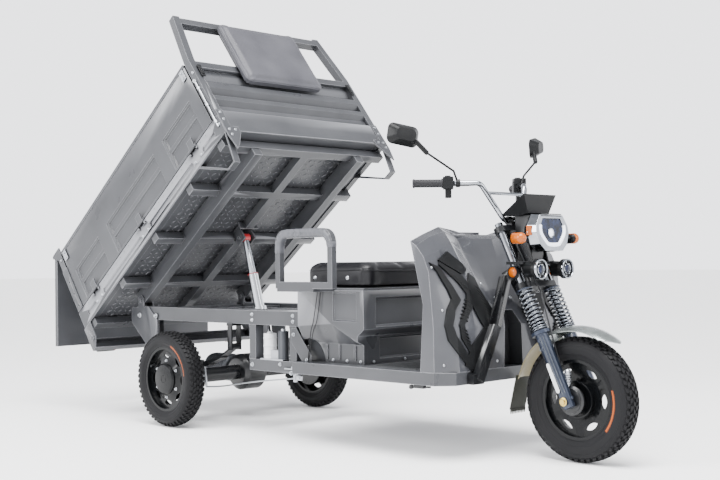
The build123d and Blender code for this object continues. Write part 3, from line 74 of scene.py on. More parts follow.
def turned_to(across, upward, outward):
    """The turn that lays its own three axes along three directions."""
    return Matrix((across, upward, outward)).transposed()


camera_place = Vector((4.7797, -3.8501, 0.8236))
camera_turn, camera_tip, camera_roll = radians(45.40), radians(1.05), radians(-0.78)
eye = bpy.data.cameras.new("viewpoint")
eye.sensor_fit, eye.sensor_width, eye.lens = "HORIZONTAL", 36.0, 56.73
ahead = Vector((-sin(camera_turn) * cos(camera_tip), cos(camera_turn) * cos(camera_tip), sin(camera_tip)))
level = Vector((cos(camera_turn), sin(camera_turn), 0.0))
over = level.cross(ahead)
camera = held("viewpoint", eye)
camera.matrix_world = Matrix.Translation(camera_place) @ turned_to(
    level * cos(camera_roll) + over * sin(camera_roll),
    over * cos(camera_roll) - level * sin(camera_roll), -ahead).to_4x4()
bpy.context.scene.camera = camera


# ------------------------------------------------------------------ studio
# A pale seamless paper floor, one broad soft light from the vehicle's right and
# above, weaker ones over its front and bed, and a bright even room around it.
def light_of(hexcode):
    """Linear colour from an sRGB hex code."""
    parts = [int(hexcode[i:i + 2], 16) / 255 for i in (1, 3, 5)]
    return tuple(c / 12.92 if c <= 0.04045 else ((c + 0.055) / 1.055) ** 2.4 for c in parts) + (1.0,)


def dial(node, **sockets):
    """Sets a node's inputs; underscores stand for the spaces in their names."""
    for key, value in sockets.items():
        node.inputs[key.replace("_", " ")].default_value = value
    return node


def put(tree, kind, settings=None, links=None, **sockets):
    """Adds a shader or geometry node with its settings, socket values and links."""
    made = tree.nodes.new(kind)
    for key, value in (settings or {}).items():
        setattr(made, key, value)
    dial(made, **sockets)
    for key, source in (links or {}).items():
        tree.links.new(source, made.inputs[key])
    return made


room = bpy.data.worlds.new("room")
room.use_nodes = True
sky = room.node_tree
backdrop = dial(sky.nodes["Background"], Color=light_of("#fafbff"))
rise = put(sky, "ShaderNodeSeparateXYZ",
           links={"Vector": put(sky, "ShaderNodeTexCoord").outputs["Generated"]})
wall = put(sky, "ShaderNodeMapRange", {"interpolation_type": "SMOOTHSTEP"}, {"Value": rise.outputs["Z"]},
           From_Min=0.24, From_Max=0.52, To_Min=3.0, To_Max=0.8)
sky.links.new(wall.outputs["Result"], backdrop.inputs["Strength"])
bpy.context.scene.world = room

reach = 60
floor_mesh = bpy.data.meshes.new("studio_floor")
floor_mesh.from_pydata([(-reach, -reach, 0), (reach, -reach, 0), (reach, reach, 0), (-reach, reach, 0)],
                       [], [(0, 1, 2, 3)])
studio_floor = held("studio_floor", floor_mesh)
# Matt white background paper.
paper = bpy.data.materials.new("studio_paper")
paper.use_nodes = True
dial(paper.node_tree.nodes["Principled BSDF"], Base_Color=light_of("#fbfbfb"), Roughness=0.9)
floor_mesh.materials.append(paper)


def soft_light(name, place, aim, width, height, watts):
    """A rectangular soft light turned to face a point."""
    lamp = bpy.data.lights.new(name, "AREA")
    lamp.shape, lamp.size, lamp.size_y, lamp.energy = "RECTANGLE", width, height, watts
    hung = held(name, lamp)
    hung.location = place
    hung.rotation_euler = (Vector(aim) - Vector(place)).to_track_quat("-Z", "Y").to_euler()


soft_light("key_light", (-0.8, -5.6, 3.6), (0.4, 0.0, 0.9), 3.0, 2.2, 380)
soft_light("front_light", (5.4, 0.6, 2.8), (0.8, 0.0, 0.8), 1.8, 2.2, 60)
soft_light("bed_light", (2.6, -1.0, 4.6), (0.5, 0.0, 1.3), 2.6, 2.6, 330)
overhead = bpy.data.lights.new("overhead_light", "SUN")
overhead.energy, overhead.angle = 5.0, radians(42)
held("overhead_light", overhead).rotation_euler = Vector(
    (-0.12, 0.30, -1.0)).to_track_quat("-Z", "Y").to_euler()


# ------------------------------------------------------------------ chassis frame
# The two long rails, their cross members, drop posts and the plates at the tail
# that hold the tipping pivot: pressed and folded steel, welded and sprayed grey.
def finish(name, colour, deep, metallic, rough, grain_mm, bump_mm, drift_mm=180.0, coat=0.0, coat_rough=0.1,
           edge_highlight=None, crease_shade=None, shine=0.3):
    """A worked surface: colour drifting between two tones, painted shade in corners and creases, painted
    highlights along sharp edges, and a fine relief.
    """
    made = bpy.data.materials.new(name)
    made.use_nodes = True
    tree = made.node_tree
    place = put(tree, "ShaderNodeTexCoord").outputs["Object"]
    drift = put(tree, "ShaderNodeTexNoise", links={"Vector": place}, Scale=1000.0 / drift_mm, Detail=4.0)
    tone = put(tree, "ShaderNodeValToRGB", links={"Fac": drift.outputs["Fac"]})
    for stop, share, shade in zip(tone.color_ramp.elements, (0.32, 0.68), (deep, colour)):
        stop.position, stop.color = share, light_of(shade)
    colour_out = tone.outputs["Color"]
    # Painted highlight: a paler colour mixed in along sharp edges, where a rounded normal leaves the true
    # one.
    if edge_highlight:
        rounded = put(tree, "ShaderNodeBevel", {"samples": 4}, Radius=0.0035)
        plain = put(tree, "ShaderNodeNewGeometry")
        same = put(tree, "ShaderNodeVectorMath", {"operation": "DOT_PRODUCT"},
                   {0: rounded.outputs["Normal"], 1: plain.outputs["True Normal"]})
        sharp = put(tree, "ShaderNodeMapRange", links={"Value": same.outputs["Value"]},
                    From_Min=0.985, From_Max=0.90)
        highlight_mix = put(tree, "ShaderNodeMix", {"data_type": "RGBA"},
                  {"Factor": sharp.outputs["Result"], "A": colour_out}, B=light_of(edge_highlight))
        colour_out = highlight_mix.outputs["Result"]
    # Painted shade: the colour darkened in corners and creases, where ambient occlusion finds them hidden.
    if crease_shade:
        hidden = put(tree, "ShaderNodeAmbientOcclusion", {"samples": 4}, Distance=0.035)
        open_to = put(tree, "ShaderNodeMapRange", links={"Value": hidden.outputs["AO"]},
                      From_Min=0.25, From_Max=0.85)
        shade_mix = put(tree, "ShaderNodeMix", {"data_type": "RGBA"},
                   {"Factor": open_to.outputs["Result"], "B": colour_out}, A=light_of(crease_shade))
        colour_out = shade_mix.outputs["Result"]
    fine = put(tree, "ShaderNodeTexNoise", links={"Vector": place}, Scale=1000.0 / grain_mm, Detail=2.0)
    gloss = put(tree, "ShaderNodeMapRange", links={"Value": drift.outputs["Fac"]},
                From_Min=0.3, From_Max=0.7, To_Min=rough * 0.82, To_Max=min(1.0, rough * 1.2))
    relief = put(tree, "ShaderNodeBump", links={"Height": fine.outputs["Fac"]}, Strength=0.35,
                 Distance=bump_mm / 1000.0)
    shader = dial(tree.nodes["Principled BSDF"], Metallic=metallic, Coat_Weight=coat,
                  Coat_Roughness=coat_rough, Specular_IOR_Level=0.5 if metallic > 0.5 else shine)
    for key, source in (("Base Color", colour_out), ("Roughness", gloss.outputs["Result"]),
                        ("Normal", relief.outputs["Normal"])):
        tree.links.new(source, shader.inputs[key])
    return made


def as_mesh(name, work, *skins):
    """The mesh of a finished bmesh, with its materials."""
    mesh = bpy.data.meshes.new(name)
    work.to_mesh(mesh)
    work.free()
    for skin in skins:
        mesh.materials.append(skin)
    return mesh


def worked(name, mesh, angle, edge_mm=0.0, segments=2):
    """An object with smooth faces that break at folds sharper than an angle in degrees, and eased edges."""
    for face in mesh.polygons:
        face.use_smooth = True
    mesh.set_sharp_from_angle(angle=radians(angle))
    made = held(name, mesh)
    if edge_mm:
        ease = made.modifiers.new("eased_edges", "BEVEL")
        ease.width, ease.segments = edge_mm / 1000.0, segments
        ease.limit_method, ease.angle_limit = "ANGLE", radians(angle)
        ease.harden_normals = True
    return made


def body_of(node):
    """The body that carries a node."""
    return frame["nodes"][node]["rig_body"]


def merged(node):
    """A copy of one node's triangles as a bmesh, doubles merged and flat faces joined."""
    work = bmesh.new()
    work.from_mesh(frame["nodes"][node].data)
    bmesh.ops.remove_doubles(work, verts=work.verts, dist=2e-6)
    bmesh.ops.dissolve_limit(work, angle_limit=radians(0.6), verts=work.verts, edges=work.edges)
    return work


def dressed(node, material, edge_mm=1.2, *, angle=32.0, segments=2, zones=()):
    """A node's solid with eased edges and its own finish; zones are (material, test of a face's middle)."""
    work = merged(node)
    for face in work.faces:
        for k, (_, inside) in enumerate(zones):
            if inside(face.calc_center_median()):
                face.material_index = k + 1
    bmesh.ops.triangulate(work, faces=[f for f in work.faces if len(f.verts) > 4])
    mesh = as_mesh(node + "_dressed", work, material, *(skin for skin, _ in zones))
    made = worked(node + "_dressed", mesh, angle, edge_mm, segments)
    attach(made, body_of(node))
    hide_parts(node)


def piece(name, work, material, body, angle=32.0, edge_mm=0.0):
    """A piece from a bmesh, its faces turned outwards, on a body."""
    bmesh.ops.remove_doubles(work, verts=work.verts, dist=2e-6)
    bmesh.ops.recalc_face_normals(work, faces=work.faces)
    made = worked(name, as_mesh(name, work, material), angle, edge_mm)
    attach(made, body)
    return made


def add_ring(work, rings, closed_ends=True, looped=False):
    """Skins a list of equal rings of points with faces; the ends are capped, left open or joined."""
    rows = [[work.verts.new(p) for p in ring] for ring in rings]
    count = len(rows[0])
    for a, b in zip(rows, rows[1:] + (rows[:1] if looped else [])):
        for k in range(count):
            work.faces.new((a[k], a[(k + 1) % count], b[(k + 1) % count], b[k]))
    if closed_ends and not looped:
        work.faces.new(rows[0][::-1])
        work.faces.new(rows[-1])


def circle(middle, side, other, radius, sides):
    """Points round a middle, in the plane of two directions."""
    return [middle + (side * cos(2 * pi * k / sides) + other * sin(2 * pi * k / sides)) * radius
            for k in range(sides)]


def add_turned(work, profile, foot, axis, sides=32, closed_ends=True):
    """A body of revolution: (radius, height) points about an axis through a foot point."""
    axis = Vector(axis).normalized()
    side = axis.orthogonal().normalized()
    other = axis.cross(side)
    add_ring(work, [circle(Vector(foot) + axis * height, side, other, max(radius, 1e-5), sides)
                    for radius, height in profile], closed_ends)


def add_block(work, low, high, turn=None):
    """A plain block between two corners, turned by a matrix if one is given."""
    corners = [Vector((x, y, z)) for x in (low[0], high[0]) for y in (low[1], high[1])
               for z in (low[2], high[2])]
    verts = [work.verts.new(turn @ c if turn else c) for c in corners]
    for quad in ((0, 1, 3, 2), (4, 6, 7, 5), (0, 4, 5, 1), (2, 3, 7, 6), (0, 2, 6, 4), (1, 5, 7, 3)):
        work.faces.new([verts[k] for k in quad])


def add_slab(work, outline, thickness):
    """A flat plate: an outline of points and the vector through its thickness."""
    add_ring(work, (outline, [Vector(p) + Vector(thickness) for p in outline]))


def add_tube(work, points, radius, sides=10, smooth=6):
    """A round tube along a soft curve through the points."""
    spots = [Vector(p) for p in points]
    if smooth and len(spots) > 2:
        ends = [spots[0] * 2 - spots[1]] + spots + [spots[-1] * 2 - spots[-2]]
        fine = []
        for k in range(1, len(ends) - 2):
            a, b, c, d = ends[k - 1:k + 3]
            for t in (step / smooth for step in range(smooth)):
                fine.append(0.5 * (2 * b + (c - a) * t + (2 * a - 5 * b + 4 * c - d) * t * t
                                   + (3 * b - a - 3 * c + d) * t ** 3))
        spots = fine + [spots[-1]]
    side = (spots[1] - spots[0]).orthogonal().normalized()
    rings = []
    for k, spot in enumerate(spots):
        run = (spots[min(k + 1, len(spots) - 1)] - spots[max(k - 1, 0)]).normalized()
        side = (side - run * side.dot(run)).normalized()
        rings.append(circle(spot, side, run.cross(side), radius, sides))
    add_ring(work, rings)


def repeat_tree():
    """Geometry nodes that set one unit at every seed point, turned and sized by the seed's attributes."""
    tree = bpy.data.node_groups.new("repeat_unit", "GeometryNodeTree")
    sockets = {label: tree.interface.new_socket(
        label, in_out="INPUT", socket_type="NodeSocket" + kind).identifier
               for label, kind in (("Seeds", "Geometry"), ("Unit", "Object"), ("Finish", "Material"))}
    tree.interface.new_socket("Result", in_out="OUTPUT", socket_type="NodeSocketGeometry")
    given = put(tree, "NodeGroupInput")
    unit = put(tree, "GeometryNodeObjectInfo", links={"Object": given.outputs["Unit"]})
    turn, size = (put(tree, "GeometryNodeInputNamedAttribute", {"data_type": "FLOAT_VECTOR"}, Name=label)
                  for label in ("turn", "size"))
    spin = put(tree, "FunctionNodeEulerToRotation", links={"Euler": turn.outputs["Attribute"]})
    placed = put(tree, "GeometryNodeInstanceOnPoints", links={
        "Points": given.outputs["Seeds"], "Instance": unit.outputs["Geometry"],
        "Rotation": spin.outputs["Rotation"], "Scale": size.outputs["Attribute"]})
    real = put(tree, "GeometryNodeRealizeInstances", links={"Geometry": placed.outputs["Instances"]})
    skin = put(tree, "GeometryNodeSetMaterial", links={"Geometry": real.outputs["Geometry"],
                                                       "Material": given.outputs["Finish"]})
    put(tree, "NodeGroupOutput", links={"Result": skin.outputs["Geometry"]})
    return tree, sockets


repeat_unit, repeat_socket = repeat_tree()


def unit_mesh(name, build):
    """A mesh about one unit in size, for a pattern to repeat."""
    work = bmesh.new()
    build(work)
    bmesh.ops.recalc_face_normals(work, faces=work.faces)
    return as_mesh(name, work)


def seen_mesh(made):
    """The mesh an object shows through its modifiers; the object itself is dropped."""
    bpy.context.view_layer.update()
    mesh = bpy.data.meshes.new_from_object(made.evaluated_get(bpy.context.evaluated_depsgraph_get()))
    bpy.data.objects.remove(made)
    return mesh


def repeated(name, unit, seeds, material, body, angle=40.0):
    """One unit at many seeds, each (place, outward direction or turn, turn about it, size or sizes)."""
    dots = bpy.data.meshes.new(name + "_seeds")
    dots.from_pydata([tuple(seed[0]) for seed in seeds], [], [])
    turn = dots.attributes.new("turn", "FLOAT_VECTOR", "POINT")
    size = dots.attributes.new("size", "FLOAT_VECTOR", "POINT")
    for k, (_, out, roll, scale) in enumerate(seeds):
        out = out if isinstance(out, Quaternion) else Vector(out).to_track_quat("Z", "Y")
        turn.data[k].vector = (out @ Quaternion((0, 0, 1), roll)).to_euler()
        size.data[k].vector = scale if hasattr(scale, "__len__") else (scale, scale, scale)
    seeded, pattern = held(name + "_seeds", dots), held(name + "_unit", unit)
    step = seeded.modifiers.new("repeat", "NODES")
    step.node_group = repeat_unit
    step[repeat_socket["Unit"]], step[repeat_socket["Finish"]] = pattern, material
    mesh = seen_mesh(seeded)
    mesh.name = name
    if not mesh.materials:
        mesh.materials.append(material)
    bpy.data.objects.remove(pattern)
    for label in ("turn", "size"):
        if label in mesh.attributes:
            mesh.attributes.remove(mesh.attributes[label])
    made = worked(name, mesh, angle)
    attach(made, body)
    return made


def hex_bolt(work):
    """A bolt head on its washer, one unit across the flats' circle, foot at the origin."""
    add_turned(work, ((0.72, 0.0), (0.72, 0.12), (0.66, 0.16)), (0, 0, 0), (0, 0, 1), 16)
    add_turned(work, ((0.5, 0.1), (0.5, 0.5), (0.44, 0.58)), (0, 0, 0), (0, 0, 1), 6)


def dome_rivet(work):
    """A low domed rivet head."""
    add_turned(work, ((0.5, 0.0), (0.47, 0.12), (0.36, 0.24), (0.18, 0.31), (0.04, 0.33)), (0, 0, 0),
               (0, 0, 1), 14)


bolt_unit = unit_mesh("bolt_head", hex_bolt)
rivet_unit = unit_mesh("rivet_head", dome_rivet)

# Grey polyester enamel over folded steel: an even satin skin with a faint orange peel, softly mirrored
# lights, slightly duller patches, a painted highlight along sharp edges and painted shade in creases.
grey_enamel = finish("grey_enamel", "#404144", "#38393c", 0.0, 0.32, 2.4, 0.05, coat=0.15, coat_rough=0.12,
                     edge_highlight="#85868a", crease_shade="#0f1012")
# Electro-zinc on turned fasteners: pale, slightly warm metal with a soft gloss.
zinc_steel = finish("zinc_plated_steel", "#b9bcc0", "#9da0a5", 0.9, 0.34, 5.0, 0.05)
dressed("chassis_frame", grey_enamel)

rail_face = 0.370
frame_bolts = []
for side in (-1, 1):
    out = (0, side, 0)
    for x in (-0.452, -0.300):
        frame_bolts.append(((x, side * (rail_face + 0.006), 0.545), out, 0.2, 0.019))
    for x in (0.500, 0.799):
        for z in (0.545, 0.572):
            frame_bolts.append(((x, side * rail_face, z), out, 0.4, 0.013))
        frame_bolts.append(((x, side * rail_face, 0.331), out, 0.1, 0.015))
repeated("frame_bolt_heads", bolt_unit, frame_bolts, zinc_steel, "chassis")

# Painted weld beads, rippled along their length, where the drop posts meet the rails.
bead_radius, bead_step = 0.0022, 0.006
welds = bmesh.new()
for side in (-1, 1):
    y = side * rail_face
    lines = [((x, y, z), (x, y + side * 0.0001, z + 0.012))
             for x in (0.480, 0.526, 0.775, 0.821) for z in (0.360, 0.512)]
    lines += [((x, y, z), (x + 0.046, y, z)) for x in (0.480, 0.775) for z in (0.358, 0.524)]
    for start, end in lines:
        start, end = Vector(start), Vector(end)
        length = (end - start).length
        count = max(4, int(length / bead_step))
        add_turned(welds, [(bead_radius * (0.82 + 0.22 * (k % 2)), length * k / count)
                           for k in range(count + 1)],
                   start, end - start, 6)
piece("frame_welds", welds, grey_enamel, "chassis", 60)


# ------------------------------------------------------------------ floor and seat box
# The footwell floor with its boxed side beams and ribbed rubber mat, and the
# pressed sheet box that holds the battery and carries the bench.
floor_high, cowl_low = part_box("floor_pan")[1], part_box("cowl")[0]
box_low, box_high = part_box("seat_box")
floor_top = 0.368
# Moulded rubber of the foot mat, dark and matt.
mat_rubber = finish("mat_rubber", "#2c2d2f", "#242527", 0.0, 0.7, 1.0, 0.2)
dressed("floor_pan", grey_enamel, 2.5,
        zones=((mat_rubber, lambda c: c.z > floor_top + 0.0015),))
dressed("seat_box", grey_enamel, 2.0)


def ridge(name, half, back, front):
    """A unit ridge: a square foot drawn in to a narrower crest."""
    return unit_mesh(name, lambda work: add_ring(work, [
        [(-x, y0, z), (x, y0, z), (x, y1, z), (-x, y1, z)]
        for x, y0, y1, z in ((0.5, -0.5, 0.5, -0.5), (half, back, front, 0.5))]))


mat_rib = ridge("mat_rib", 0.5, -0.28, 0.28)
mat_rear, mat_front, rib_pitch = box_high.x + 0.020, cowl_low.x + 0.040, 0.016
repeated("mat_ribs", mat_rib, [
    ((mat_rear + 0.02 + rib_pitch * k, 0.0, floor_high.z + 0.0006), Quaternion((0, 0, 1), radians(90)), 0,
     (0.74, 0.006, 0.0024)) for k in range(int((mat_front - mat_rear) / rib_pitch))],
    mat_rubber, "chassis")

# Two black leads with PVC insulation, clipped down the box's side from the controller.
lead_insulation = finish("lead_insulation", "#1b1c1f", "#141517", 0.0, 0.45, 2.0, 0.03)
box_side = box_low.y + 0.006
leads = bmesh.new()
for shift in (0.0, 0.022):
    add_tube(leads, [(1.012 + shift, box_side - 0.006, 0.694), (0.984 + shift, box_side - 0.008, 0.560),
                     (0.962 + shift * 0.7, box_side - 0.006, 0.505),
                     (0.936 + shift * 0.4, box_side + 0.004, 0.412),
                     (0.921, box_side + 0.010, 0.345), (0.905, box_side + 0.020, 0.300)], 0.0019, 8, 5)
piece("box_leads", leads, lead_insulation, "chassis")

# Zinc screws with washers hold the box to the floor.
box_screws = []
for side in (-1, 1):
    for x in (1.060, 1.150, 1.235):
        box_screws.append(((x, side * 0.3602, 0.381), (0, side, 0), 0.3, 0.010))
for y in (-0.30, -0.10, 0.10, 0.30):
    box_screws.append(((1.2562, y, 0.379), (1, 0, 0), 0.3, 0.010))
repeated("box_screw_heads", bolt_unit, box_screws, zinc_steel, "chassis")

# Textured black ABS of the battery case, lamp bodies and inserts.
black_abs = finish("black_abs", "#0e0f11", "#0a0b0c", 0.0, 0.45, 0.9, 0.05, shine=0.2)
dressed("battery_pack", black_abs, 3.0)

# Square tube arm rest loop; its top bar is wrapped in a grey sleeve.
sleeve_vinyl = finish("sleeve_vinyl", "#54555a", "#47484c", 0.0, 0.3, 3.0, 0.5, drift_mm=30)
dressed("armrest", grey_enamel, 3.0, segments=3)
arm_low, arm_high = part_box("armrest")
sleeve = bmesh.new()
loop_r, tube_half = 0.062, 0.0152
corner = [(arm_low.x + tube_half, arm_high.z - 0.105)]
for cx, start in ((arm_low.x + tube_half + loop_r, 180), (arm_high.x - tube_half - loop_r, 90)):
    for k in range(7):
        angle = radians(start - 15 * k)
        corner.append((cx + loop_r * cos(angle), arm_high.z - tube_half - loop_r + loop_r * sin(angle)))
corner.append((arm_high.x - tube_half, arm_high.z - 0.082))
track = []
for (x0, z0), (x1, z1) in zip(corner, corner[1:]):
    pieces = max(1, int(hypot(x1 - x0, z1 - z0) / 0.008))
    track += [(x0 + (x1 - x0) * k / pieces, z0 + (z1 - z0) * k / pieces) for k in range(pieces)]
track.append(corner[-1])
rows, wide = [], Vector((0, 1, 0))
for k, (x, z) in enumerate(track):
    ax, az = track[max(k - 1, 0)]
    bx, bz = track[min(k + 1, len(track) - 1)]
    out = wide.cross(Vector((bx - ax, 0, bz - az)).normalized())
    grow = 0.0172 + 0.0007 * sin(k * 1.7) + 0.0005 * sin(k * 4.1 + 1) - (
        0.0014 if k in (0, len(track) - 1) else 0)
    rows.append([Vector((x, arm_low.y + 0.015, z)) + wide * (grow * a) + out * (grow * b) for a, b in (
        (-1, -0.8), (-1, 0.8), (-0.8, 1), (0.8, 1), (1, 0.8), (1, -0.8), (0.8, -1), (-0.8, -1))])
add_ring(sleeve, rows)
piece("armrest_sleeve", sleeve, sleeve_vinyl, "chassis", 50)


def stuffed(node, voxel_mm, shrink_mm, reach_mm):
    """A cushion mesh: the solid remeshed, drawn in, blown up as cloth and held close to its start."""
    pad = held(node + "_start", as_mesh(node + "_start", merged(node)))
    remesh = pad.modifiers.new("remesh", "REMESH")
    remesh.mode = "VOXEL"
    remesh.voxel_size = (voxel_mm * 1.0) / 1000.0
    relax = pad.modifiers.new("relax", "SMOOTH")
    relax.factor, relax.iterations = 0.5, 6
    mesh = seen_mesh(pad)
    normals = [v.normal.copy() for v in mesh.vertices]
    for vert, normal in zip(mesh.vertices, normals):
        vert.co -= normal * (shrink_mm / 1000.0)
    mesh.update()
    start = [v.co.copy() for v in mesh.vertices]
    sim = held(node + "_sim", mesh)
    cloth = sim.modifiers.new("cloth", "CLOTH")
    for key, value in (("quality", 5), ("mass", 0.3), ("tension_stiffness", 12),
                       ("compression_stiffness", 12),
                       ("shear_stiffness", 4), ("bending_stiffness", 0.6), ("use_pressure", True),
                       ("uniform_pressure_force", 5)):
        setattr(cloth.settings, key, value)
    cloth.settings.effector_weights.gravity = 0.0
    cloth.collision_settings.use_collision = False
    settling = range(1, 21)
    cloth.point_cache.frame_start, cloth.point_cache.frame_end = settling[0], settling[-1]
    for number in settling:
        bpy.context.scene.frame_set(number)
    blown = bpy.data.meshes.new_from_object(sim.evaluated_get(bpy.context.evaluated_depsgraph_get()))
    bpy.data.objects.remove(sim)
    bpy.context.scene.frame_set(1)
    for vert, home in zip(blown.vertices, start):
        move = vert.co - home
        if move.length > reach_mm / 1000.0:
            vert.co = home + move * (reach_mm / 1000.0 / move.length)
    blown.update()
    return blown


def cushion(name, node, mesh, material, low_face):
    """The stuffed mesh kept inside its own solid's box, subdivided once and set on the solid's body in its
    place.
    """
    low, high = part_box(node)
    mesh.materials.clear()
    mesh.materials.append(material)
    for vert in mesh.vertices:
        for axis in range(3):
            vert.co[axis] = min(max(vert.co[axis], low[axis] - 0.006), high[axis] + 0.006)
        low_face(vert)
    made = held(name, mesh)
    for face in mesh.polygons:
        face.use_smooth = True
    fine = made.modifiers.new("fine", "SUBSURF")
    fine.levels = fine.render_levels = 1
    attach(made, body_of(node))
    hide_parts(node)
    return made


def dip(distance):
    """How far a sewn line draws the skin in, from one on the line down to nothing."""
    return 2.718 ** (-distance * distance)


# Grained black PVC vinyl stretched over the bench.
black_vinyl = finish("black_vinyl", "#131316", "#0e0e11", 0.0, 0.38, 1.8, 0.35)
seat_low, seat_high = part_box("seat_cushion")
seat_mid = (seat_low + seat_high) / 2


def seat_form(vert):
    """Flattens the underside and draws the top in along its sewn lines."""
    x, y, z = vert.co
    if z < seat_low.z + 0.012:
        vert.co.z = max(z, seat_low.z)
        return
    share = max(0.0, (z - seat_mid.z) / (seat_high.z - seat_mid.z))
    for line in (-0.13, 0.13):
        vert.co.z -= 0.0075 * share * dip((y - seat_mid.y - line) / 0.018)
    across = Vector((x - seat_mid.x, y - seat_mid.y, 0))
    if abs(across.x) > 0.19 or abs(across.y) > 0.37:
        vert.co -= across.normalized() * 0.0035 * dip((z - (seat_high.z - 0.026)) / 0.006)


seat_cushion = cushion("seat_cushion_soft", "seat_cushion", stuffed("seat_cushion", 9, 9, 17), black_vinyl,
                       seat_form)


def rounded_loop(low, high, z, radius, inset, steps=8):
    """Points round a rectangle in plan with rounded corners, drawn in by an inset."""
    points = []
    x0, x1, y0, y1 = low.x + inset, high.x - inset, low.y + inset, high.y - inset
    for cx, cy, start in ((x1 - radius, y1 - radius, 0), (x0 + radius, y1 - radius, 90),
                          (x0 + radius, y0 + radius, 180), (x1 - radius, y0 + radius, 270)):
        for k in range(steps + 1):
            angle = radians(start + 90 * k / steps)
            points.append(Vector((cx + radius * cos(angle), cy + radius * sin(angle), z)))
    return points


def closed_cord(work, loop, radius, sides=8):
    """A round cord whose two ends meet."""
    rings = []
    for k, spot in enumerate(loop):
        run = (loop[(k + 1) % len(loop)] - loop[k - 1]).normalized()
        side = run.cross(Vector((0, 0, 1)))
        if side.length < 0.2:
            side = run.cross(Vector((1, 0, 0)))
        side.normalize()
        rings.append(circle(spot, side, side.cross(run), radius, sides))
    add_ring(work, rings, looped=True)


def skin_of(mesh):
    """A mesh's surface, ready to be asked for its nearest or first met point."""
    work = bmesh.new()
    work.from_mesh(mesh)
    skin = BVHTree.FromBMesh(work)
    work.free()
    return skin


def settled(made, loop, spacing=0.02):
    """The loop's points, evenly filled in, laid on the nearest skin of a cushion."""
    skin, laid = skin_of(made.data), []
    for a, b in zip(loop, loop[1:] + loop[:1]):
        parts = max(1, round((b - a).length / spacing))
        laid += [skin.find_nearest(a.lerp(b, k / parts))[0] for k in range(parts)]
    for _ in range(3):
        laid = [(laid[k - 1] + p * 2 + laid[(k + 1) % len(laid)]) / 4 for k, p in enumerate(laid)]
    return laid


piping = bmesh.new()
seam = rounded_loop(seat_low, seat_high, seat_high.z - 0.026, 0.045, 0.001)
closed_cord(piping, settled(seat_cushion, seam), 0.0032)
piece("seat_piping", piping, black_vinyl, "chassis", 60)
# A moulded tray under the cushion, and two press studs on the cushion's right side.
tray = bmesh.new()
add_block(tray, (seat_low.x + 0.012, seat_low.y + 0.012, box_high.z - 0.001),
          (seat_high.x - 0.012, seat_high.y - 0.012, seat_low.z + 0.004))
piece("seat_tray", tray, black_abs, "chassis", 40, 1.0)
repeated("seat_studs", rivet_unit, [
    ((seat_low.x + 0.11 + 0.21 * k, seat_low.y + 0.0015, seat_low.z + 0.045), (0, -1, 0), 0, 0.020)
    for k in range(2)], zinc_steel, "chassis")


# ------------------------------------------------------------------ leg shield
# A large glossy ABS moulding ahead of the rider, screwed to the floor's front,
# with slatted dark inserts either side and near-black painted shade over the arch behind the front wheel.
cast_trees = {}


def met(node, start, way):
    """Where a straight line first meets a node's surface, or None."""
    if node not in cast_trees:
        cast_trees[node] = skin_of(frame["nodes"][node].data)
    return cast_trees[node].ray_cast(Vector(start), Vector(way))[0]


def front_of(node, y, z, spare):
    """How far forward a node's surface stands at a place across the vehicle, or the spare value."""
    spot = met(node, (3.0, y, z), (-1, 0, 0))
    return spot.x if spot else spare


# Glossy grey ABS of the shield, and a duller near-black over its arch panel: painted shade inside the arch.
# The shield's grey also takes a painted highlight along sharp edges and painted shade in creases.
gloss_grey = finish("gloss_grey_abs", "#404145", "#393a3e", 0.0, 0.2, 6.0, 0.02, coat=0.4, coat_rough=0.06,
                    edge_highlight="#85868a", crease_shade="#141518")
arch_shade_black = finish("arch_painted_shade_abs", "#222326", "#1b1c1e", 0.0, 0.6, 1.2, 0.08)
shield_front = floor_high.x
arch_half, arch_top = 0.0645, floor_top + 0.239
# The arch zone is coloured near-black: painted shade inside the arch.
dressed("cowl", gloss_grey, 5.0, angle=24.0, segments=3, zones=(
    (arch_shade_black, lambda c: abs(c.y) < arch_half and c.z < arch_top
     and shield_front - 0.0735 < c.x < shield_front + 0.02),))
dressed("cowl_trims", black_abs, 1.5)
# Upright pleats stiffen the arch panel behind the front wheel; they carry the same near-black painted shade.
pleat_turn = turned_to((0, 0, 1), (0, -1, 0), (1, 0, 0)).to_quaternion()
pleats = []
for k in range(7):
    y = 0.66 * arch_half * (k / 3 - 1)
    for z in (floor_high.z + up for up in (0.045, 0.115, 0.185)):
        spot = met("cowl", (3.0, y, z), (-1, 0, 0))
        if spot and z + 0.035 < arch_top:
            pleats.append((spot, pleat_turn, 0, (0.070, 0.020, 0.012)))
repeated("arch_pleats", mat_rib, pleats, arch_shade_black, "chassis", 30)


# Raised louvre bars cross the long insert, each a short slanted ridge.
def shield_x(y, z):
    """Where the shield's outer face stands at a place across the vehicle."""
    return front_of("cowl", y, z, shield_front)


louvre = ridge("louvre_bar", 0.44, -0.1, 0.25)
louvre_seeds = []
for side in (-1, 1):
    for (out0, up0), (out1, up1), count, width in (
            ((0.330, 0.400), (0.258, 0.330), 6, 0.046), ((0.262, 0.290), (0.310, 0.205), 6, 0.040),
            ((0.318, 0.180), (0.290, 0.105), 5, 0.034), ((0.170, 0.340), (0.135, 0.215), 8, 0.060),
            ((0.160, 0.150), (0.215, 0.060), 5, 0.050)):
        for k in range(count):
            t = (k + 0.5) / count
            y, z = side * (out0 + (out1 - out0) * t), floor_top + (up0 + (up1 - up0) * t)
            lean = atan2(shield_x(y, z - 0.02) - shield_x(y, z + 0.02), 0.04)
            sweep = atan2(shield_x(y - 0.02, z) - shield_x(y + 0.02, z), 0.04)
            normal = Vector((1, tan(sweep), tan(lean))).normalized()
            across = Vector((0, side * cos(radians(30)), sin(radians(30))))
            across = (across - normal * across.dot(normal)).normalized()
            turn = turned_to(across, normal.cross(across), normal).to_quaternion()
            louvre_seeds.append(((shield_x(y, z) + 0.0065, y, z), turn, 0, (width, 0.0075, 0.005)))
repeated("trim_louvres", louvre, louvre_seeds, black_abs, "chassis")

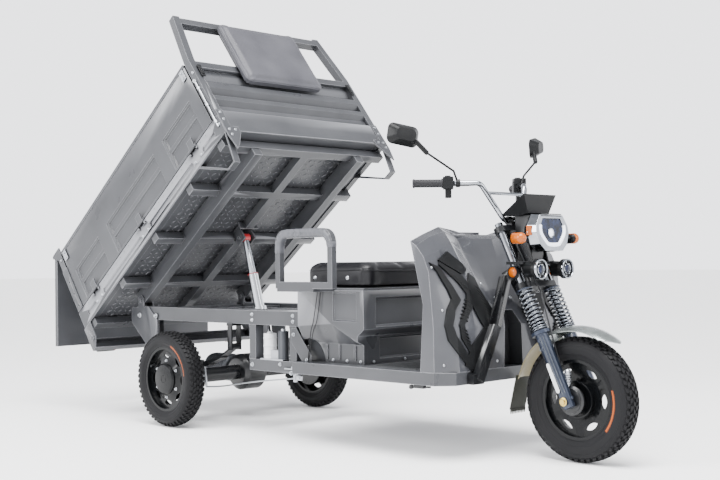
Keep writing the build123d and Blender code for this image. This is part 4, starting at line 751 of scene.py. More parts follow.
# Pan-head screws with washers along the inserts' edges and the wings' feet.
shield_screws = []
for side in (-1, 1):
    for out, up in ((0.345, 0.462), (0.118, 0.352), (0.415, 0.425), (0.052, 0.290), (0.395, 0.250),
                    (0.405, 0.030), (0.110, 0.030)):
        y, z = side * out, floor_top + up
        shield_screws.append(((shield_x(y, z) - 0.0005, y, z), (1, 0, 0.2), 0.2, 0.0125))
repeated("shield_screw_heads", rivet_unit, shield_screws, zinc_steel, "chassis")

# Black stove enamel on the steering stays: deep black with a soft highlight.
black_enamel = finish("black_enamel", "#121315", "#0d0e10", 0.0, 0.3, 3.0, 0.04, coat=0.25, coat_rough=0.15)
dressed("head_frame", black_enamel, 2.5, segments=3)


# ------------------------------------------------------------------ rear axle and springs
# Leaf springs with their U bolts and rebound clips, the axle tube with the
# finned drive motor, and the tank and pump of the tipping gear on the lower tube.
def middle_of(node):
    """The middle of a node's box."""
    low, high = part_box(node)
    return (low + high) / 2


dressed("leaf_springs", black_enamel, 0.8)
dressed("rear_axle", black_enamel, 2.0)
# Sand-cast aluminium of the motor's body, left raw.
cast_alloy = finish("cast_alloy", "#45474b", "#37393d", 0.6, 0.45, 1.2, 0.25)
dressed("drive_motor", cast_alloy, 1.5)
motor_low, motor_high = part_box("drive_motor")
motor_span = motor_high - motor_low
motor_r = motor_span.z / 2
run = Vector((1, 0, 0)) if motor_span.x > motor_span.y else Vector((0, 1, 0))
fins = bmesh.new()
for k in range(9):
    add_turned(fins, ((motor_r - 0.003, 0.0), (motor_r + 0.0035, 0.001), (motor_r + 0.0035, 0.004),
                      (motor_r - 0.003, 0.005)),
               middle_of("drive_motor") + run * (motor_span.dot(run) * (-0.34 + 0.085 * k)), run, 40)
piece("motor_fins", fins, cast_alloy, "chassis", 30)

axle_z = middle_of("rear_axle").z
u_bolts = bmesh.new()
u_nuts = []
spring_y, tube_r, leg_out = 0.345, 0.041, 0.030
for side in (-1, 1):
    for x in (-0.034, 0.034):
        y = side * spring_y
        arch = [(x, y - leg_out, axle_z + 0.068)]
        for k in range(9):
            angle = pi * k / 8
            arch.append((x, y - leg_out * cos(angle), axle_z - 0.012 - tube_r * sin(angle) * 0.9))
        arch.append((x, y + leg_out, axle_z + 0.068))
        add_tube(u_bolts, arch, 0.0048, 8, 2)
        u_nuts += [((x, y + sign * leg_out, axle_z + 0.056), (0, 0, 1), 0, 0.017) for sign in (-1, 1)]
piece("axle_u_bolts", u_bolts, zinc_steel, "chassis")
repeated("axle_u_nuts", bolt_unit, u_nuts, zinc_steel, "chassis")

# Brake rod and its cable run from the pedal shaft back to the drum lever.
brake_rod = bmesh.new()
add_tube(brake_rod, [(0.084, -0.335, 0.191), (0.230, -0.338, 0.205), (0.464, -0.340, 0.241),
                     (0.640, -0.334, 0.262), (0.816, -0.330, 0.283)], 0.0035, 8, 4)
add_tube(brake_rod, [(0.060, -0.330, 0.300), (0.080, -0.336, 0.240), (0.084, -0.335, 0.191)], 0.006, 8, 3)
piece("brake_linkage", brake_rod, zinc_steel, "chassis")
# The pedal's crank hangs from the rail on a bolted bracket; a bent plate ties the post to the floor.
crank, gusset = bmesh.new(), bmesh.new()
for x, z, x1, z1 in ((0.752, 0.300, 0.790, 0.350), (0.776, 0.262, 0.796, 0.320),
                     (0.790, 0.272, 0.832, 0.292)):
    add_block(crank, (x, -0.352, z), (x1, -0.343, z1))
add_block(crank, (0.744, -0.380, 0.322), (0.802, -0.343, 0.328))
add_tube(crank, [(0.786, -0.345, 0.306), (0.786, -0.372, 0.306)], 0.009, 12)
piece("brake_crank", crank, zinc_steel, "chassis", 30, 1.0)
add_ring(gusset, [[(x, y, z) for x, z in ((0.792, 0.516), (0.826, 0.516), (0.930, 0.392), (0.930, 0.350),
                                          (0.878, 0.350), (0.792, 0.448))] for y in (-0.3705, -0.3745)])
piece("post_gusset", gusset, grey_enamel, "chassis", 30, 0.8)
repeated("linkage_bolts", bolt_unit, [
    ((x, y, z), (0, -1, 0), 0.4, wide) for x, y, z, wide in (
        (0.768, -0.352, 0.336, 0.012), (0.786, -0.372, 0.306, 0.015), (0.822, -0.352, 0.282, 0.011),
        (0.808, -0.3745, 0.486, 0.013), (0.898, -0.3745, 0.372, 0.013), (0.706, -0.371, 0.342, 0.013))],
    zinc_steel, "chassis")
# Folded side stand's latch under the floor's edge.
latch = bmesh.new()
add_block(latch, (1.612, -0.432, 0.300), (1.668, -0.414, 0.316))
add_tube(latch, [(1.585, -0.424, 0.303), (1.612, -0.424, 0.305), (1.700, -0.424, 0.308)], 0.0042, 8, 2)
add_tube(latch, [(1.594, -0.430, 0.303), (1.594, -0.418, 0.303)], 0.009, 12)
piece("stand_latch", latch, black_enamel, "chassis", 30, 0.8)

# White stoving lacquer on the oil tank.
white_lacquer = finish("white_lacquer", "#d6d8da", "#c8cacc", 0.0, 0.3, 4.0, 0.04)
unit_low, unit_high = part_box("hydraulic_unit")
unit_y = middle_of("hydraulic_unit").y
dressed("hydraulic_unit", zinc_steel, 2.0, zones=(
    (white_lacquer, lambda c: c.z > unit_low.z + 0.008 and c.x < unit_low.x + 0.070),
    (cast_alloy, lambda c: c.z < unit_high.z - 0.018 and c.x > unit_low.x + 0.105)))
bands = bmesh.new()
for z in (0.022, 0.060, 0.098):
    add_turned(bands, ((0.0298, 0), (0.0325, 0.002), (0.0325, 0.006), (0.0298, 0.008)),
               (unit_low.x + 0.034, unit_y, unit_low.z + z), (0, 0, 1), 32)
piece("tank_bands", bands, white_lacquer, "chassis")
# Pressure pipe from the pump's block over to the ram's foot.
pipe = bmesh.new()
add_tube(pipe, [(unit_low.x + 0.062, unit_y + 0.012, unit_low.z + 0.030),
                (unit_low.x + 0.040, unit_y + 0.050, unit_low.z + 0.030),
                (0.440, -0.180, 0.335), (0.300, -0.085, 0.322)], 0.0055, 10, 6)
piece("pressure_pipe", pipe, black_abs, "chassis")


# ------------------------------------------------------------------ wheels
# Steel rims in gloss black, their pressed discs slotted, on drums; bias tyres
# with small staggered tread blocks and a painted rating stripe on the wall.
# Black powder coat of the rims, vulcanised tyre rubber and its painted marking.
wheel_black = finish("wheel_gloss_black", "#0a0b0d", "#060708", 0.0, 0.2, 5.0, 0.03, coat=0.06,
                     coat_rough=0.06, shine=0.16)
tyre_rubber = finish("tyre_rubber", "#111113", "#0c0c0e", 0.0, 0.6, 1.1, 0.2, shine=0.18)
orange_paint = finish("orange_marking_paint", "#9c4608", "#8e3f06", 0.0, 0.5, 2.0, 0.05)


def block_unit(work):
    """One tread block: a leaning four-sided stud with a broken edge, one unit in size."""
    skew = 0.16
    outline = ((-0.5, -0.5 - skew), (0.5, -0.5 + skew), (0.5, 0.5 + skew), (-0.5, 0.5 - skew))
    add_ring(work, ([(x, y, -0.6) for x, y in outline], [(x * 0.96, y * 0.96, 0.8) for x, y in outline],
                    [(x * 0.84, y * 0.84, 1.0) for x, y in outline]))


tread_block = unit_mesh("tread_block", block_unit)


def dressed_tyre(node, name, arcs):
    """Carcass with beaded walls, tread blocks in rows and a painted arc on each given face."""
    low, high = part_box(node)
    body, hub = body_of(node), (low + high) / 2
    outer, half = (high.z - low.z) / 2, (high.y - low.y) / 2
    seat, deep, sides, pitch_count = 0.1525, 0.0065, 112, 52
    shoulder, shoulder_out, tread_half = outer - 0.021, half - 0.009, half - 0.012
    base, crown = shoulder + 0.003, outer - deep
    side_wall = [(seat, 0.029), (seat + 0.004, 0.036), (seat + 0.012, 0.0405), (seat + 0.0145, 0.0425),
                 (seat + 0.017, 0.0422)]
    first, first_out = side_wall[-1]

    def wall_y(t):
        """How far out the side wall bulges, from its foot at 0 to the shoulder at 1."""
        return (first_out * (1 - t) * (1 - 2 * t) + (half - 0.0012) * 4 * t * (1 - t)
                + shoulder_out * t * (2 * t - 1))

    def tread_r(y):
        """The radius of the tread's crown at a distance from its middle."""
        return crown - (crown - base) * (abs(y) / tread_half) ** 2.4

    def on_tyre(angle, r, y):
        """A place round the tyre, from its top forwards."""
        return hub.x + r * sin(angle), hub.y + y, hub.z + r * cos(angle)

    for k in range(1, 9):
        r, y = first + (shoulder - first) * k / 8, wall_y(k / 8)
        side_wall.append((r, y))
        if k in (2, 6):
            side_wall += [(r + 0.0012, y + 0.0011), (r + 0.0030, y + 0.0008)]
    half_line = side_wall + [(tread_r(y), y) for y in [tread_half * (1 - k / 5) for k in range(6)]]
    profile = half_line + [(r, -y) for r, y in half_line[-2::-1]]
    work = bmesh.new()
    add_ring(work, [[on_tyre(2 * pi * k / sides, r, y) for r, y in profile] for k in range(sides)],
             looped=True)
    carcass = piece(name, work, tyre_rubber, body, 38)
    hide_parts(node)
    seeds = []
    rows = ((0.0075, 0.0, 0.013, 0.62, 1), (0.0225, 0.5, 0.0125, 0.62, -1),
            (half - 0.0165, 0.15, 0.0135, 0.60, 1))
    for sign in (-1, 1):
        for y, phase, wide, share, lean in rows:
            r = tread_r(y)
            slope = atan2(tread_r(y - 0.002) - tread_r(y + 0.002), 0.004)
            size = (wide, 2 * pi * r / pitch_count * share * lean * sign, min(deep, outer - r - 0.0012))
            for k in range(pitch_count):
                angle = 2 * pi * (k + phase + (0.5 if sign > 0 else 0)) / pitch_count
                radial = Vector((sin(angle), 0, cos(angle)))
                normal = radial * cos(slope) + Vector((0, sign * sin(slope), 0))
                across = (Vector((0, 1, 0)) - normal * normal.y).normalized()
                turn = turned_to(across, normal.cross(across), normal).to_quaternion()
                seeds.append((hub + radial * r + Vector((0, sign * y, 0)), turn, 0, size))
    blocks = repeated(name + "_blocks", tread_block, seeds, tyre_rubber, body, 25)
    flip = bmesh.new()
    flip.from_mesh(blocks.data)
    bmesh.ops.recalc_face_normals(flip, faces=flip.faces)
    flip.to_mesh(blocks.data)
    flip.free()
    stripes = bmesh.new()
    for side, start, end, radius in arcs:
        rings = []
        for k in range(15):
            angle, ring = radians(start + (end - start) * k / 14), []
            for dr, lifts in ((-0.0055, (-0.0006, 0.0005)), (0.0055, (0.0005, -0.0006))):
                y = wall_y((radius + dr - first) / (shoulder - first))
                ring += [on_tyre(angle, radius + dr, side * (y + lift)) for lift in lifts]
            rings.append(ring)
        add_ring(stripes, rings)
    piece(name + "_stripe", stripes, orange_paint, body, 40)


dressed_tyre("rear_tyre_right", "tyre_rear_right", ((-1, 22, 82, 0.181),))
dressed_tyre("rear_tyre_left", "tyre_rear_left", ((1, 200, 260, 0.181),))
dressed_tyre("front_tyre", "tyre_front", ((-1, 74, 128, 0.183), (1, 250, 304, 0.183)))

for rim_node in ("rear_rim_left", "rear_rim_right", "front_rim"):
    dressed(rim_node, wheel_black, 1.6, segments=3)
# Ribbed alloy brake housing between the fork legs, with its arm and adjuster.
hub_front = middle_of("front_rim")
brake = bmesh.new()
add_turned(brake, ((0.058, 0), (0.060, 0.004), (0.060, 0.012), (0.050, 0.016), (0.050, 0.020)),
           hub_front + Vector((0, -0.058, 0)), (0, -1, 0), 48)
piece("brake_housing", brake, black_enamel, "steering", 35, 1.0)
cylinder = bmesh.new()
drum_top = hub_front + Vector((-0.018, -0.066, 0.066))
for k in range(5):
    add_turned(cylinder, ((0.013, 0.0), (0.0165, 0.002), (0.0165, 0.006), (0.013, 0.008)),
               drum_top + Vector((0, 0, 0.009 * k)), (0, 0, 1), 20)
add_turned(cylinder, ((0.012, 0.0), (0.012, 0.062), (0.007, 0.068)), drum_top - Vector((0, 0, 0.010)),
           (0, 0, 1), 20)
piece("brake_cylinder", cylinder, zinc_steel, "steering")
# Six nuts on each rear disc, a valve in every rim and a turned ring round each rear hub.
nut_ring, valve_ring, valve_angle = 0.091, 0.131, 2.6
rear_rims = (("rear_rim_right", -1), ("rear_rim_left", 1))
for rim_node, side in rear_rims:
    rim_mid, body, nuts = middle_of(rim_node), body_of(rim_node), []
    for k in range(6):
        angle = radians(60 * k + 30)
        spot = (rim_mid.x + nut_ring * cos(angle), side * 2.0, rim_mid.z + nut_ring * sin(angle))
        at = met(rim_node, spot, (0, -side, 0))
        if at:
            nuts.append((at, (0, side, 0), 0, 0.012))
    repeated("wheel_nuts_" + body[11:], bolt_unit, nuts, zinc_steel, body)
for rim_node, side in (*rear_rims, ("front_rim", -1)):
    stem = bmesh.new()
    foot = middle_of(rim_node) + Vector((valve_ring * cos(valve_angle), side * 0.020,
                                         valve_ring * sin(valve_angle)))
    add_turned(stem, ((0.0042, 0), (0.0042, 0.016), (0.0034, 0.018), (0.0034, 0.026), (0.0046, 0.027),
                      (0.0046, 0.034)),
               foot, Vector((-0.35 * cos(valve_angle), side * 0.8, -0.35 * sin(valve_angle))), 12)
    piece("valve_" + rim_node, stem, lead_insulation, body_of(rim_node))
for rim_node, side in rear_rims:
    rim_mid, ring = middle_of(rim_node), bmesh.new()
    at = met(rim_node, (rim_mid.x + 0.02, side * 2.0, rim_mid.z), (0, -side, 0))
    add_turned(ring, ((0.015, -0.001), (0.0165, 0.0012), (0.019, 0.0014), (0.0205, -0.001)),
               (rim_mid.x, at.y if at else side * 0.55, rim_mid.z), (0, side, 0), 40)
    piece("hub_ring_" + rim_node, ring, wheel_black, body_of(rim_node))


# ------------------------------------------------------------------ load bed
# A tipping tray: checker plate floor on channels, drop sides with pressed panels,
# a tailgate hung from the corner posts and a tubular headboard with a back pad.
def joint(name):
    """A joint by its name."""
    return next(j for j in frame["joints"] if j["name"] == name)


tilt_pivot, tilt_now = Vector(joint("bed_tilt")["pos_m"]), radians(-joint("bed_tilt")["range_deg"][0])
raising = (Matrix.Translation(tilt_pivot) @ Matrix.Rotation(-tilt_now, 4, "Y")
           @ Matrix.Translation(-tilt_pivot))
lowering = raising.inverted()


def level_box(node):
    """Lowest and highest corners of a bed node with the bed swung down level."""
    spots = [lowering @ v.co for v in frame["nodes"][node].data.vertices]
    return tuple(Vector([pick(s[k] for s in spots) for k in range(3)]) for pick in (min, max))


bed_tail, bed_base, bed_long = -0.767, 0.681, 1.6
panel_face, latch_face, board_face, rod_u = 0.5455, 0.5505, 1.6061, 1.577


def on_bed(u, y, w):
    """A place on the tipped bed: along from its tail, across and up from its underside."""
    return raising @ Vector((bed_tail + u, y, bed_base + w))


def bed_way(x, y, z):
    """A direction on the tipped bed."""
    return (raising.to_3x3() @ Vector((x, y, z))).normalized()


for bed_node in ("bed_floor", "bed_subframe", "headboard", "bed_tail", "side_panel_left", "side_panel_right"):
    dressed(bed_node, grey_enamel, 1.6)
dressed("tailgate", grey_enamel, 2.0)

# Checker plate: small crossed lozenge ridges rolled into the floor sheet, which
# show on its top and, as dents, between the channels below.
lozenge = unit_mesh("lozenge", lambda work: add_ring(work, (
    [(-0.5, 0, -0.4), (0, -0.5, -0.4), (0.5, 0, -0.4), (0, 0.5, -0.4)],
    [(-0.34, 0, 1), (0, -0.3, 1), (0.34, 0, 1), (0, 0.3, 1)])))
bed_turn = raising.to_3x3().to_quaternion()
pitch = 0.034


def plate_pattern(name, u0, u1, y0, y1, w, down):
    """The lozenges of one sheet of floor, crossed in turn; those below hang down and run larger."""
    seeds, size = [], (0.027, 0.0085, 0.0024) if down else (0.024, 0.0065, 0.0012)
    for i in range(int((u1 - u0) / pitch)):
        for j in range(int((y1 - y0) / pitch)):
            turn = bed_turn @ Quaternion((0, 0, 1), radians(45 if (i + j) % 2 else -45))
            if down:
                turn = turn @ Quaternion((1, 0, 0), pi)
            seeds.append((on_bed(u0 + pitch * (i + 0.5), y0 + pitch * (j + 0.5), w), turn, 0, size))
    repeated(name, lozenge, seeds, grey_enamel, "bed", 30)


plate_pattern("plate_top", 0.08, 1.54, -0.50, 0.50, 0.0101, False)
plate_pattern("plate_under_fore", 0.80, 1.50, -0.48, 0.48, 0.0059, True)
plate_pattern("plate_under_aft", 0.10, 0.76, -0.48, 0.48, 0.0059, True)

# Zinc bolts: hinges of the drop sides, the corner lugs, the head board's feet.
bed_bolts, fore = [], bed_way(1, 0, 0)
for side in (-1, 1):
    out = bed_way(0, side, 0)
    bed_bolts += [(on_bed(bed_long * share + du, side * panel_face, 0.040), out, 0.3, 0.011)
                  for share in (0.14375, 0.4925, 0.85) for du in (-0.030, 0.030)]
    bed_bolts += [(on_bed(u, side * panel_face, w), out, 0.4, 0.010)
                  for u, w in ((1.585, 0.060), (1.585, 0.400), (0.034, 0.45))]
    bed_bolts += [(on_bed(board_face, side * y, w), fore, 0.2, 0.011)
                  for y, w in ((0.521, -0.024), (0.485, 0.010), (0.521, 0.010), (0.525, 0.075),
                               (0.525, 0.120))]
repeated("bed_bolt_heads", bolt_unit, bed_bolts, zinc_steel, "bed")

# Two deep ribs and a bead stiffen the head board sheet across its width.
sheet_ribs = bmesh.new()
for outline in (((1.574, 0.352), (1.603, 0.328), (1.603, 0.292), (1.574, 0.262)),
                ((1.574, 0.250), (1.603, 0.240), (1.603, 0.213), (1.574, 0.184)),
                ((1.574, 0.146), (1.595, 0.137), (1.595, 0.129), (1.574, 0.120))):
    add_slab(sheet_ribs, [on_bed(u, -0.508, w) for u, w in outline], Vector((0, 1.016, 0)))
piece("headboard_ribs", sheet_ribs, grey_enamel, "bed", 30, 3.0)
# Black steel keepers, stepped in two layers, on the head board's front near each end.
keepers = bmesh.new()
for side in (-1, 1):
    for half, low_w, high_w, proud in ((0.011, 0.362, 0.438, 0.0045), (0.006, 0.376, 0.424, 0.0085)):
        turn = (raising @ Matrix.Translation((0.839, side * 0.506, bed_base + low_w))
                @ Matrix.Rotation(radians(-90), 4, "Z"))
        add_block(keepers, (-half, -0.001, 0.0), (half, proud, high_w - low_w), turn)
piece("headboard_keepers", keepers, black_enamel, "bed", 30, 0.8)
# Bright drop-side locking rods in their guides up the front corners.
rods, bed_up = bmesh.new(), bed_way(0, 0, 1)
for side in (-1, 1):
    y = side * latch_face
    add_tube(rods, [on_bed(rod_u, y, 0.050), on_bed(rod_u, y, 0.338), on_bed(1.568, y + side * 0.003, 0.350)],
             0.0048, 10, 4)
    for w in (0.080, 0.190, 0.300):
        add_turned(rods, ((0.0085, -0.007), (0.0085, 0.007)), on_bed(rod_u, y, w), bed_up, 12)
    add_turned(rods, ((0.003, 0), (0.008, 0.004), (0.0095, 0.011), (0.006, 0.017), (0.001, 0.019)),
               on_bed(rod_u, y, 0.340), bed_up, 14)
piece("locking_rods", rods, zinc_steel, "bed", 40)

# Spot welds in a row along each side of the tray.
repeated("bed_spot_welds", rivet_unit, [
    (on_bed(0.07 + 0.05 * k, side * (panel_face - 0.0003), 0.092), bed_way(0, side, 0), 0,
     (0.006, 0.006, 0.0035))
    for side in (-1, 1) for k in range(30)], grey_enamel, "bed")

# Over-centre latches at both ends of each drop side: a plate and its two pins.
for side, tag in ((-1, "right"), (1, "left")):
    latch = bmesh.new()
    for u in (0.095, 1.520):
        turn = raising @ Matrix.Translation((bed_tail + u, side * latch_face, bed_base + 0.440))
        add_block(latch, (-0.016, -0.001 if side > 0 else -0.003, -0.030),
                  (0.016, 0.003 if side > 0 else 0.001, 0.030), turn)
        for up in (0.016, -0.016):
            add_turned(latch, ((0.006, 0), (0.006, 0.008), (0.005, 0.009)), turn @ Vector((0, 0, up)),
                       bed_way(0, side, 0), 14)
    piece("side_latch_" + tag, latch, zinc_steel, "side_" + tag, 30, 0.6)

# Head board pad: foam under grey vinyl on a steel sheet, piped round its face.
grey_vinyl = finish("grey_vinyl", "#4a4a4f", "#3f3f44", 0.0, 0.45, 1.6, 0.25)
pad_low, pad_high = level_box("headboard_cushion")
pad_mid, pad_half = (pad_low + pad_high) / 2, (pad_high - pad_low) / 2


def pad_form(vert):
    """Keeps the back flat on its sheet and pulls the face's border in under the piping."""
    spot = lowering @ vert.co
    if spot.x < pad_low.x + 0.010:
        spot.x = max(spot.x, pad_low.x)
    near = min(pad_half.y - abs(spot.y - pad_mid.y), pad_half.z - abs(spot.z - pad_mid.z))
    share = max(0.0, (spot.x - pad_mid.x) / (pad_high.x - pad_mid.x))
    spot.x -= 0.0065 * share * dip((near - 0.034) / 0.010)
    spot.x = min(spot.x, pad_high.x + 0.008)
    vert.co = raising @ spot


headboard_pad = cushion("headboard_pad_soft", "headboard_cushion", stuffed("headboard_cushion", 7, 5, 12),
                        grey_vinyl, pad_form)
pad_piping = bmesh.new()
loop = [raising @ Vector((pad_high.x - 0.014, p.y, p.x)) for p in rounded_loop(
    Vector((pad_low.z, pad_low.y, 0)), Vector((pad_high.z, pad_high.y, 0)), 0, 0.042, 0.0015)]
closed_cord(pad_piping, settled(headboard_pad, loop), 0.003)
piece("headboard_piping", pad_piping, grey_vinyl, "bed", 60)

# Tail lamp clusters: black housings with red, amber and clear panes behind.
red_acrylic = finish("red_acrylic", "#a5121a", "#8f0e15", 0.0, 0.14, 3.0, 0.06, coat=0.5, coat_rough=0.03)
amber_acrylic = finish("amber_acrylic", "#b05600", "#944500", 0.0, 0.14, 3.0, 0.06, coat=0.2, coat_rough=0.03)
clear_acrylic = finish("clear_acrylic", "#d5dbe2", "#bcc4ce", 0.1, 0.08, 3.0, 0.05, coat=0.6, coat_rough=0.03)
dressed("tail_lamps", black_abs, 2.0)
lamp_low, lamp_high = level_box("tail_lamps")
pane_wide = (0.505 - 0.375) / 3
for k, (tag, material, slot) in enumerate((("red", red_acrylic, "amber_lens"),
                                           ("amber", amber_acrylic, "amber_lens"),
                                           ("clear", clear_acrylic, "lens"))):
    panes = bmesh.new()
    for side in (-1, 1):
        ends = sorted((side * (0.380 + pane_wide * k + 0.002), side * (0.380 + pane_wide * (k + 1) - 0.002)))
        add_block(panes, (lamp_low.x - 0.003, ends[0], lamp_low.z + 0.006),
                  (lamp_low.x + 0.004, ends[1], lamp_high.z - 0.006), raising)
    piece("tail_pane_" + tag, panes, material, "bed", 30, 1.5)


# ------------------------------------------------------------------ ram
# Hydraulic ram: barrel and stage of bright ground steel, the barrel with a raised
# band and the stage with a red wiper ring, and a chromed rod with a red eye.
# Chrome plate, the springs' wire plating darkened below real chrome as painted shade for its dark
# reflections, ground steel and red lacquer.
chrome = finish("chrome_plate", "#a5a8ad", "#8e9298", 1.0, 0.13, 9.0, 0.05, drift_mm=40)
spring_chrome_dimmed = finish("spring_chrome_dimmed", "#6c7076", "#565a60", 1.0, 0.14, 5.0, 0.05, drift_mm=20)
ground_steel = finish("ground_steel", "#c9cbce", "#b9bcc0", 1.0, 0.15, 0.8, 0.03)
red_lacquer = finish("red_lacquer", "#b4262b", "#9c1d22", 0.0, 0.3, 4.0, 0.04, coat=0.4, coat_rough=0.1)
ram_axis = Vector(joint("ram_stage_slide")["axis"]).normalized()
ram_foot = Vector(joint("ram_swing")["pos_m"])
dressed("ram_barrel", ground_steel, 1.2)
dressed("ram_stage", ground_steel, 1.0)
dressed("ram_rod", chrome, 0.6, zones=(
    (red_lacquer, lambda c: (c - ram_foot).dot(ram_axis) > 0.600),))
for node, radius, inner, material, lips in (
        ("ram_barrel", 0.0348, 0.0348, ground_steel, (-0.044, -0.043, -0.031, -0.030, 0.0014)),
        ("ram_stage", 0.0262, 0.0184, red_lacquer, (-0.0022, -0.0016, 0.0012, 0.0025, 0.0020))):
    top = max((v.co - ram_foot).dot(ram_axis) for v in frame["nodes"][node].data.vertices)
    collar = bmesh.new()
    add_turned(collar, ((radius, lips[0]), (radius + lips[4], lips[1]), (radius + lips[4], lips[2]),
                        (radius, lips[3]), (inner, lips[3])), ram_foot + ram_axis * top, ram_axis, 36, False)
    piece(node + "_collar", collar, material, node, 30)


# ------------------------------------------------------------------ fork and bars
# Motorcycle fork: pressed yokes, chromed stanchions inside exposed coil springs,
# cast lower legs with two ribs and reflector strips, and a domed mudguard.
fork_up = Vector(joint("steering_turn")["axis"]).normalized()
if fork_up.z < 0:
    fork_up = -fork_up
fork_back = Vector((-fork_up.z, 0, fork_up.x))
wheel_hub = Vector(joint("front_spin")["pos_m"])


def on_leg(distance, side, out=0.0, back=0.0):
    """A place on one fork leg: up from the axle along it, further out and further back."""
    return wheel_hub + fork_up * distance + fork_back * back + Vector((0, side * (0.095 + out), 0))


def on_cast(side, distance, back):
    """A place on a leg's outer side, laid on the casting's surface."""
    spot = on_leg(distance, side, 0.0, back)
    return met("fork_lowers", (spot.x, side * 0.4, spot.z), (0, -side, 0)) or spot


def mirrored(place, side):
    """A place or direction given for the left, taken to a side."""
    return Vector((place.x, place.y * side, place.z))


dressed("steering_head", black_enamel, 2.0, segments=3)
dressed("lamp_bracket", black_enamel, 1.5)
dressed("fork_uppers", chrome, 0)
dressed("handlebar", chrome, 0)
# Die-cast aluminium of the legs, lacquered a dark blue grey.
dark_cast = finish("dark_cast_alloy", "#2c3342", "#212734", 0.55, 0.3, 1.4, 0.12, coat=0.3, coat_rough=0.1)
dressed("fork_lowers", dark_cast, 2.0, angle=36, segments=3)

# Springs wound from plated wire, the turns closing up towards the foot.
spring_low, spring_high, turns, turn_steps = 0.3025, 0.4870, 11, 20
wire_r, coil_r = 0.0042, 0.0325
coils = bmesh.new()
for side in (-1, 1):
    spots = []
    for k in range(turns * turn_steps + 1):
        t = k / (turns * turn_steps)
        distance = spring_low + wire_r + (spring_high - spring_low - 2 * wire_r) * t ** 1.35
        angle = 2 * pi * turns * t
        spots.append(mirrored(on_leg(distance, 1) + fork_back * (coil_r * cos(angle))
                              + Vector((0, coil_r * sin(angle), 0)), side))
    add_tube(coils, spots, wire_r, 8, 0)
# The coils take the dimmed chrome: painted shade for their dark reflections.
fork_coils = piece("fork_coils", coils, spring_chrome_dimmed, "steering", 60)
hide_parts("fork_springs")

collars = bmesh.new()
for side in (-1, 1):
    add_turned(collars, ((0.0175, 0.0), (0.037, 0.0), (0.0385, 0.002), (0.0385, 0.005), (0.0305, 0.008),
                         (0.0175, 0.008), (0.0175, 0.0)), on_leg(0.2915, side), fork_up, 36, False)
    add_turned(collars, ((0.0175, 0.0), (0.034, 0.0), (0.036, 0.003), (0.036, 0.005), (0.0175, 0.006),
                         (0.0175, 0.0)),
               on_leg(0.4810, side), fork_up, 36, False)
piece("spring_seats", collars, dark_cast, "steering")

# Two bright ribs run up each leg's outer side, ahead of its middle.
leg_trim = bmesh.new()
for side in (-1, 1):
    for back in (-0.017, -0.006):
        add_tube(leg_trim, [on_cast(side, 0.030 + 0.245 * k / 7, back) for k in range(8)], 0.0026, 8, 2)
# The ribs take the springs' dimmed chrome, with its painted shade.
piece("leg_ribs", leg_trim, spring_chrome_dimmed, "steering", 60)
pinch = []
for side in (-1, 1):
    pinch.append((on_leg(0.006, side, 0.0, -0.024), -fork_back, 0.3, 0.013))
    pinch += [(on_leg(up, side, 0.026, 0.002), (0, side, 0), 0.3, 0.011) for up in (0.262, 0.226)]
repeated("pinch_bolts", bolt_unit, pinch, dark_cast, "steering")
# Yellow passivated zinc on the axle's nuts.
yellow_zinc = finish("yellow_zinc", "#cdb56a", "#b79c4e", 0.85, 0.3, 4.0, 0.04)
axle_nut_seeds = [((wheel_hub.x, side * 0.1235, wheel_hub.z), (0, side, 0), 0.2, (0.024, 0.024, 0.018))
                  for side in (-1, 1)]
repeated("axle_nuts", bolt_unit, axle_nut_seeds, yellow_zinc, "steering")
# Plain white reflector strips stuck up the outer side of each leg.
leg_strips = bmesh.new()
for side in (-1, 1):
    for start, end, wide in ((0.048, 0.122, 0.0085), (0.132, 0.158, 0.0075)):
        outline = []
        for up, first_turn in ((end, 0), (start, 180)):
            for angle in (radians(first_turn + 180 * k / 8) for k in range(9)):
                outline.append(on_cast(side, up + wide * sin(angle), 0.006 + wide * cos(angle)))
        stand = side * (max(abs(p.y) for p in outline) + 0.0004)
        add_slab(leg_strips, [(p.x, stand, p.z) for p in outline], Vector((0, side * 0.0012, 0)))
piece("leg_reflectors", leg_strips, white_lacquer, "steering", 30)

# Brake line and speedometer drive: cables in black PVC sheaths along the bar and the right leg.
sheath_black = finish("cable_sheath", "#1d1e20", "#161719", 0.0, 0.4, 2.0, 0.03)
cables, lines = bmesh.new(), []
clamp, bend, tip = (Vector((wheel_hub.x - back, across, wheel_hub.z + up)) for back, across, up in (
    (0.334, 0.055, 0.731), (0.383, 0.152, 0.889), (0.589, 0.338, 0.891)))
for side in (-1, 1):
    lines.append([mirrored(start.lerp(end, share), side) + Vector((0.012, 0, -0.010))
                  for start, end, share in (
        (bend, tip, 0.46), (bend, tip, 0.25), (bend, tip, 0.04), (clamp, bend, 0.86), (clamp, bend, 0.5),
        (clamp, bend, 0.12))] + [on_leg(0.640, side, -0.030, -0.030), on_leg(0.560, side, -0.034, -0.030)])
lines.append([on_leg(up, -1, out, back) for up, out, back in (
    (0.560, -0.034, -0.030), (0.480, -0.038, -0.046), (0.400, -0.020, -0.052), (0.290, -0.014, -0.040),
    (0.180, -0.030, -0.014), (0.090, -0.032, 0.0))])
for line in lines:
    add_tube(cables, line, 0.0033, 8, 8)
piece("steering_cables", cables, sheath_black, "steering", 60)

# Silver and beige enamels on the guard's pressed steel, and a moulded rubber flap below it.
guard_enamel = finish("mudguard_silver_enamel", "#9aa09f", "#7e8483", 0.8, 0.24, 6.0, 0.08, drift_mm=50,
                      coat=0.3, coat_rough=0.06)
guard_beige = finish("mudguard_beige_enamel", "#8d8365", "#776e52", 0.1, 0.35, 6.0, 0.05, drift_mm=60)
flap_rubber = finish("flap_rubber", "#26271f", "#1e1f19", 0.0, 0.7, 1.2, 0.15)
flap_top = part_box("front_mudguard")[0].x + 0.045
dressed("front_mudguard", guard_enamel, 0.7, angle=40, zones=(
    (guard_beige, lambda c: c.x < wheel_hub.x - 0.175),
    (flap_rubber, lambda c: c.x < flap_top and c.z < 0.330)))
